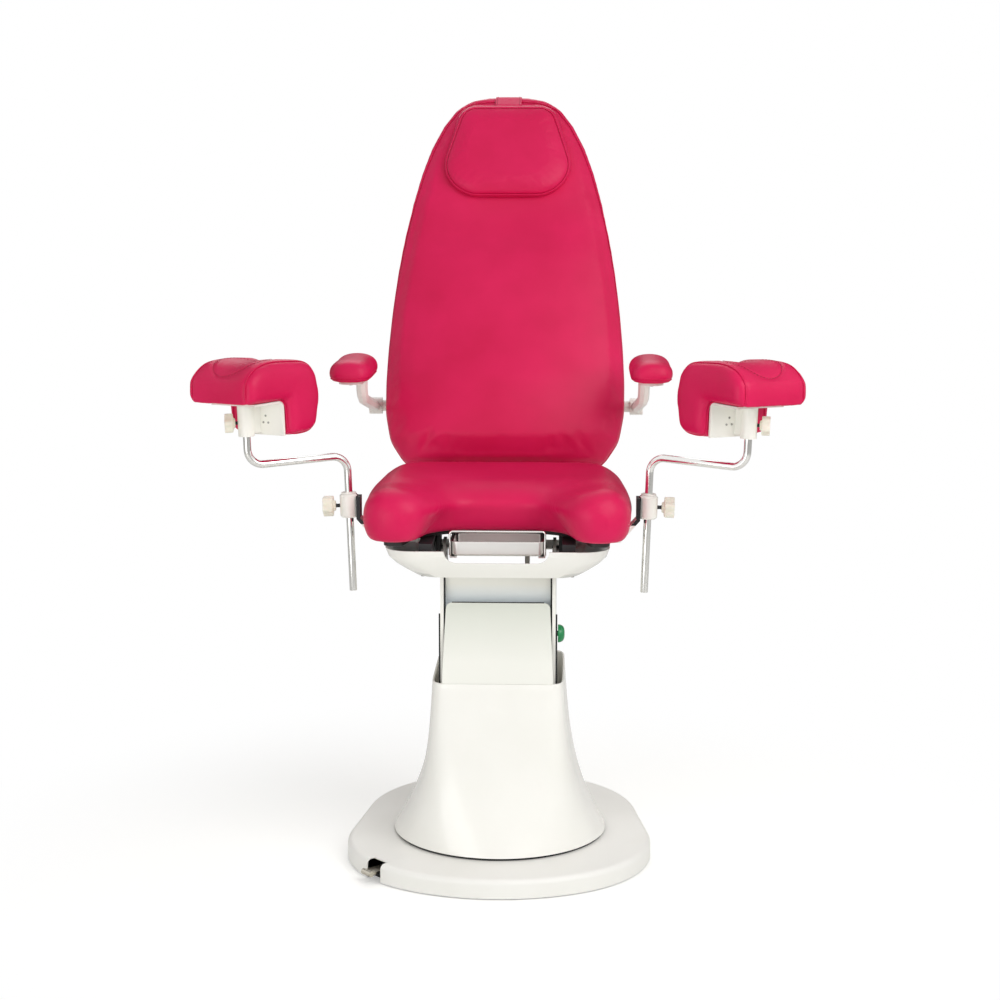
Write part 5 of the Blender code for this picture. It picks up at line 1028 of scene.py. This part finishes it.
strap = started("headStrap", bpy.ops.mesh.primitive_grid_add, x_subdivisions=strapShape["across"],
                y_subdivisions=strapShape["along"], size=2)
middleRise = strapShape["thickness"] / 2 + strapShape["clear"]
for vertex in strap.data.vertices:
    vertex.co = strapPoint(vertex.co.x * strapShape["halfWidth"], (vertex.co.y + 1) / 2 * strapRun[-1],
                           strapShape["reach"], middleRise)
applied(strap, "SOLIDIFY", thickness=strapShape["thickness"], offset=0)
outward(strap)
bevelled(strap, strapShape["edge"])
smoothShade(strap, 60)
# the sewn end belongs with the head pad and the rest of the strap with the back; the strap and its stitches
# are baked in place, not attached to either body
strapWay = (backPlace.to_3x3() @ Vector(strapShape["way"])).normalized()
strapFoot = backPlace @ Vector((0, *strapPath[0]))
feed = ["headrest", "backrest"] + [tuple(strapFoot + strapWay * distance) for distance in strapShape["feed"]]
dress(strap, "headrest_strap", vinyl, across=feed)
stitchCount = int((strapRun[-1] - strapShape["stitchReach"]) / strapShape["stitch"])
for side in (-1, 1):  # a row of stitches inside each edge
    row = [strapPoint(side * (strapShape["halfWidth"] - strapShape["stitchIn"]), step * strapShape["stitch"],
                      strapShape["stitchReach"], middleRise + strapShape["thickness"] / 2)
           for step in range(1, stitchCount)]
    stitches("strapStitches_%d" % (side + 1), "headrest_strap", row, strapShape["stitchRadius"], closed=False,
             across=feed)
print("head strap done")

# arm pads: domed, with a seam round the lower edge
armShape = {"voxel": 0.004, "cap": 0.007, "ease": 34, "crown": 0.006, "crownFacing": (0.1, 0.9),
            "seamUp": 0.008, "seam": {"spacing": 0.004, "depth": 0.0012, "width": 0.003, "radius": 0.0011}}
for side, hand in sides:
    node = "arm_pad_" + hand
    low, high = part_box(node)
    pad = softCopy(node, "armPad_" + hand, armShape, [(0, 0, -1)])
    centre = (low.x + high.x) / 2

    def crownField(place, normal):
        arch = math.cos((place.x - centre) / (high.x - low.x) * math.pi)
        return Vector((0, 0, armShape["crown"] * smoothStep(*armShape["crownFacing"], normal.z) * arch))

    sculpt(pad, crownField)
    upholstered(pad, node)
    seamed(pad, "armSeam_" + hand, node, Vector((0, 0, low.z + armShape["seamUp"])), Vector((0, 0, 1)),
           armShape["seam"])
print("arm pads done")

# knee supports: hooked pads with a gusset at each end and an oval sewn on top
kneeShape = {
    "voxel": 0.005, "cap": 0.007, "ease": 24, "round": 26, "halfWidth": 0.091, "gusset": 0.014,
    "dome": 0.010, "domeMiddle": (0.0, 0.005), "domeReach": (0.070, 0.055), "domeFacing": (0.2, 0.8),
    "lip": 0.012, "lipAlong": (-0.030, -0.080), "lipUp": (0.175, 0.215),
    "notch": (0.038, 0.136), "keptEdge": (0.138, 0.170), "keptCorner": (0.015, 0.045),
    "seam": {"spacing": 0.005, "depth": 0.0016, "width": 0.004, "radius": 0.0014},
    "ovalRadii": (0.060, 0.062), "ovalSteps": 72, "ovalFrom": 0.4, "ovalGroove": (0.0022, 0.0045),
    "ovalStitch": 0.0075, "stitchRadius": 0.0006,
}


def makeKneeSupport(side, hand):
    shape = kneeShape
    node = "knee_pad_" + hand
    place = padPlace(side)
    turn = place.to_3x3()
    toPad = place.inverted()
    down = turn @ Vector((0, 0, -1))
    pad = softCopy(node, "kneePad_" + hand, shape, [turn @ Vector((0, -1, 0)), down])

    def domeField(spot, normal):
        local = toPad @ spot
        hill = swell(local.x - shape["domeMiddle"][0], local.y - shape["domeMiddle"][1], shape["domeReach"])
        lowered = (shape["lip"] * smoothStep(*shape["lipAlong"], local.y)
                   * smoothStep(*shape["lipUp"], local.z))
        raised = shape["dome"] * hill * smoothStep(*shape["domeFacing"], normal.z)
        return normal * raised + down * lowered

    sculpt(pad, domeField)
    loose = pad.vertex_groups.new(name="loose")  # rounds the outer corners, not the one against the plate
    for vertex in pad.data.vertices:
        local = toPad @ vertex.co
        gap = math.hypot(local.y - shape["notch"][0], local.z - shape["notch"][1])
        free = smoothStep(*shape["keptEdge"], local.z) if local.y < shape["notch"][0] else 1.0
        loose.add([vertex.index], free * smoothStep(*shape["keptCorner"], gap), "REPLACE")
    applied(pad, "SMOOTH", factor=0.5, iterations=shape["round"], vertex_group="loose")
    upholstered(pad, node)
    for end in (-1, 1):
        seamed(pad, "kneeSeam_%s_%d" % (hand, end + 1), node,
               place @ Vector((end * (shape["halfWidth"] - shape["gusset"]), 0, 0)),
               turn @ Vector((1, 0, 0)), shape["seam"])
    surface = surfaceOf(pad.data)
    oval = []
    for step in range(shape["ovalSteps"]):
        angle = math.tau * step / shape["ovalSteps"]
        top = place @ Vector((shape["ovalRadii"][0] * math.cos(angle),
                              shape["ovalRadii"][1] * math.sin(angle), shape["ovalFrom"]))
        hit = surface.ray_cast(top, down)[0]
        if hit is not None:
            oval.append(hit)
    groove(pad, oval, *shape["ovalGroove"])
    stitches("kneeOval_" + hand, node, evened(oval, shape["ovalStitch"]), shape["stitchRadius"])


for side, hand in sides:
    makeKneeSupport(side, hand)
print("knee supports done")

# studio: pale floor, soft lamps, each with its place, size and power
studio = {"key": ((1.75, -1.9, 2.5), 2.4, 52), "fill": ((-1.4, -2.3, 0.9), 1.6, 14.5),
          "rim": ((-0.3, 2.6, 3.0), 2.2, 26)}
lampAim = Vector((0, 0, 0.85))
for name, (spot, size, power) in studio.items():
    facing = (lampAim - Vector(spot)).to_track_quat("-Z", "Y").to_euler()
    bpy.ops.object.light_add(type="AREA", location=spot, rotation=facing)
    lamp = bpy.context.object
    lamp.name = name + "Lamp"
    lamp.data.size = size
    lamp.data.energy = power

# the floor keeps its shadow near the chair and fades to white further out
floorShape = {"size": 40, "below": -0.0006, "glow": 0.30, "fade": (0.45, 1.3)}
floor = started("floor", bpy.ops.mesh.primitive_plane_add, size=floorShape["size"],
                location=(0, 0, floorShape["below"]))
floorFinish, tree, shader, where = newFinish("paleFloor", "#EDEDEA", 0.7)
far = addNode(tree, "VectorMath", {0: where}, operation="LENGTH")
fade = ranged(tree, far.outputs["Value"], floorShape["fade"], interpolation_type="SMOOTHSTEP")
glow = addNode(tree, "Emission", {"Strength": floorShape["glow"]})
lit = addNode(tree, "AddShader", {0: shader, 1: glow})
white = addNode(tree, "Emission", {"Strength": 1.0})
near = addNode(tree, "MixShader", {0: fade, 1: lit, 2: white})
rays = addNode(tree, "LightPath")
mixed = addNode(tree, "MixShader", {0: rays.outputs["Is Camera Ray"], 1: shader, 2: near})
plug(tree, tree.nodes["Material Output"], {"Surface": mixed})
floor.data.materials.append(floorFinish)

skyShape = {"white": (1.0, 1.0, 1.0, 1.0), "shown": 1.0, "diffuse": 0.48, "behind": (0.25, 0.7), "dark": 0.1}
world = bpy.data.worlds.new("studioWorld")
scene.world = world
world.use_nodes = True
tree = world.node_tree
shown = tree.nodes["Background"]
plug(tree, shown, {"Color": skyShape["white"], "Strength": skyShape["shown"]})
lighting = addNode(tree, "Background", {"Color": skyShape["white"], "Strength": skyShape["diffuse"]})
# what shines back: white all round, dark from behind the chair, which gives round metal its dark edges
coords = addNode(tree, "TexCoord")
place = addNode(tree, "SeparateXYZ", {"Vector": coords.outputs["Generated"]})
behind = ranged(tree, place.outputs["Y"], skyShape["behind"], (1.0, skyShape["dark"]),
                interpolation_type="SMOOTHSTEP")
mirrored = addNode(tree, "Background", {"Color": skyShape["white"], "Strength": behind})
rays = addNode(tree, "LightPath")
unseen = addNode(tree, "MixShader", {0: rays.outputs["Is Glossy Ray"], 1: lighting, 2: mirrored})
straight = addNode(tree, "Math", {0: rays.outputs["Is Camera Ray"], 1: rays.outputs["Is Transmission Ray"]},
                   operation="MAXIMUM")
mixed = addNode(tree, "MixShader", {0: straight, 1: unseen, 2: shown})
plug(tree, tree.nodes["World Output"], {"Surface": mixed})
scene.view_settings.view_transform = "Standard"
print("studio set")
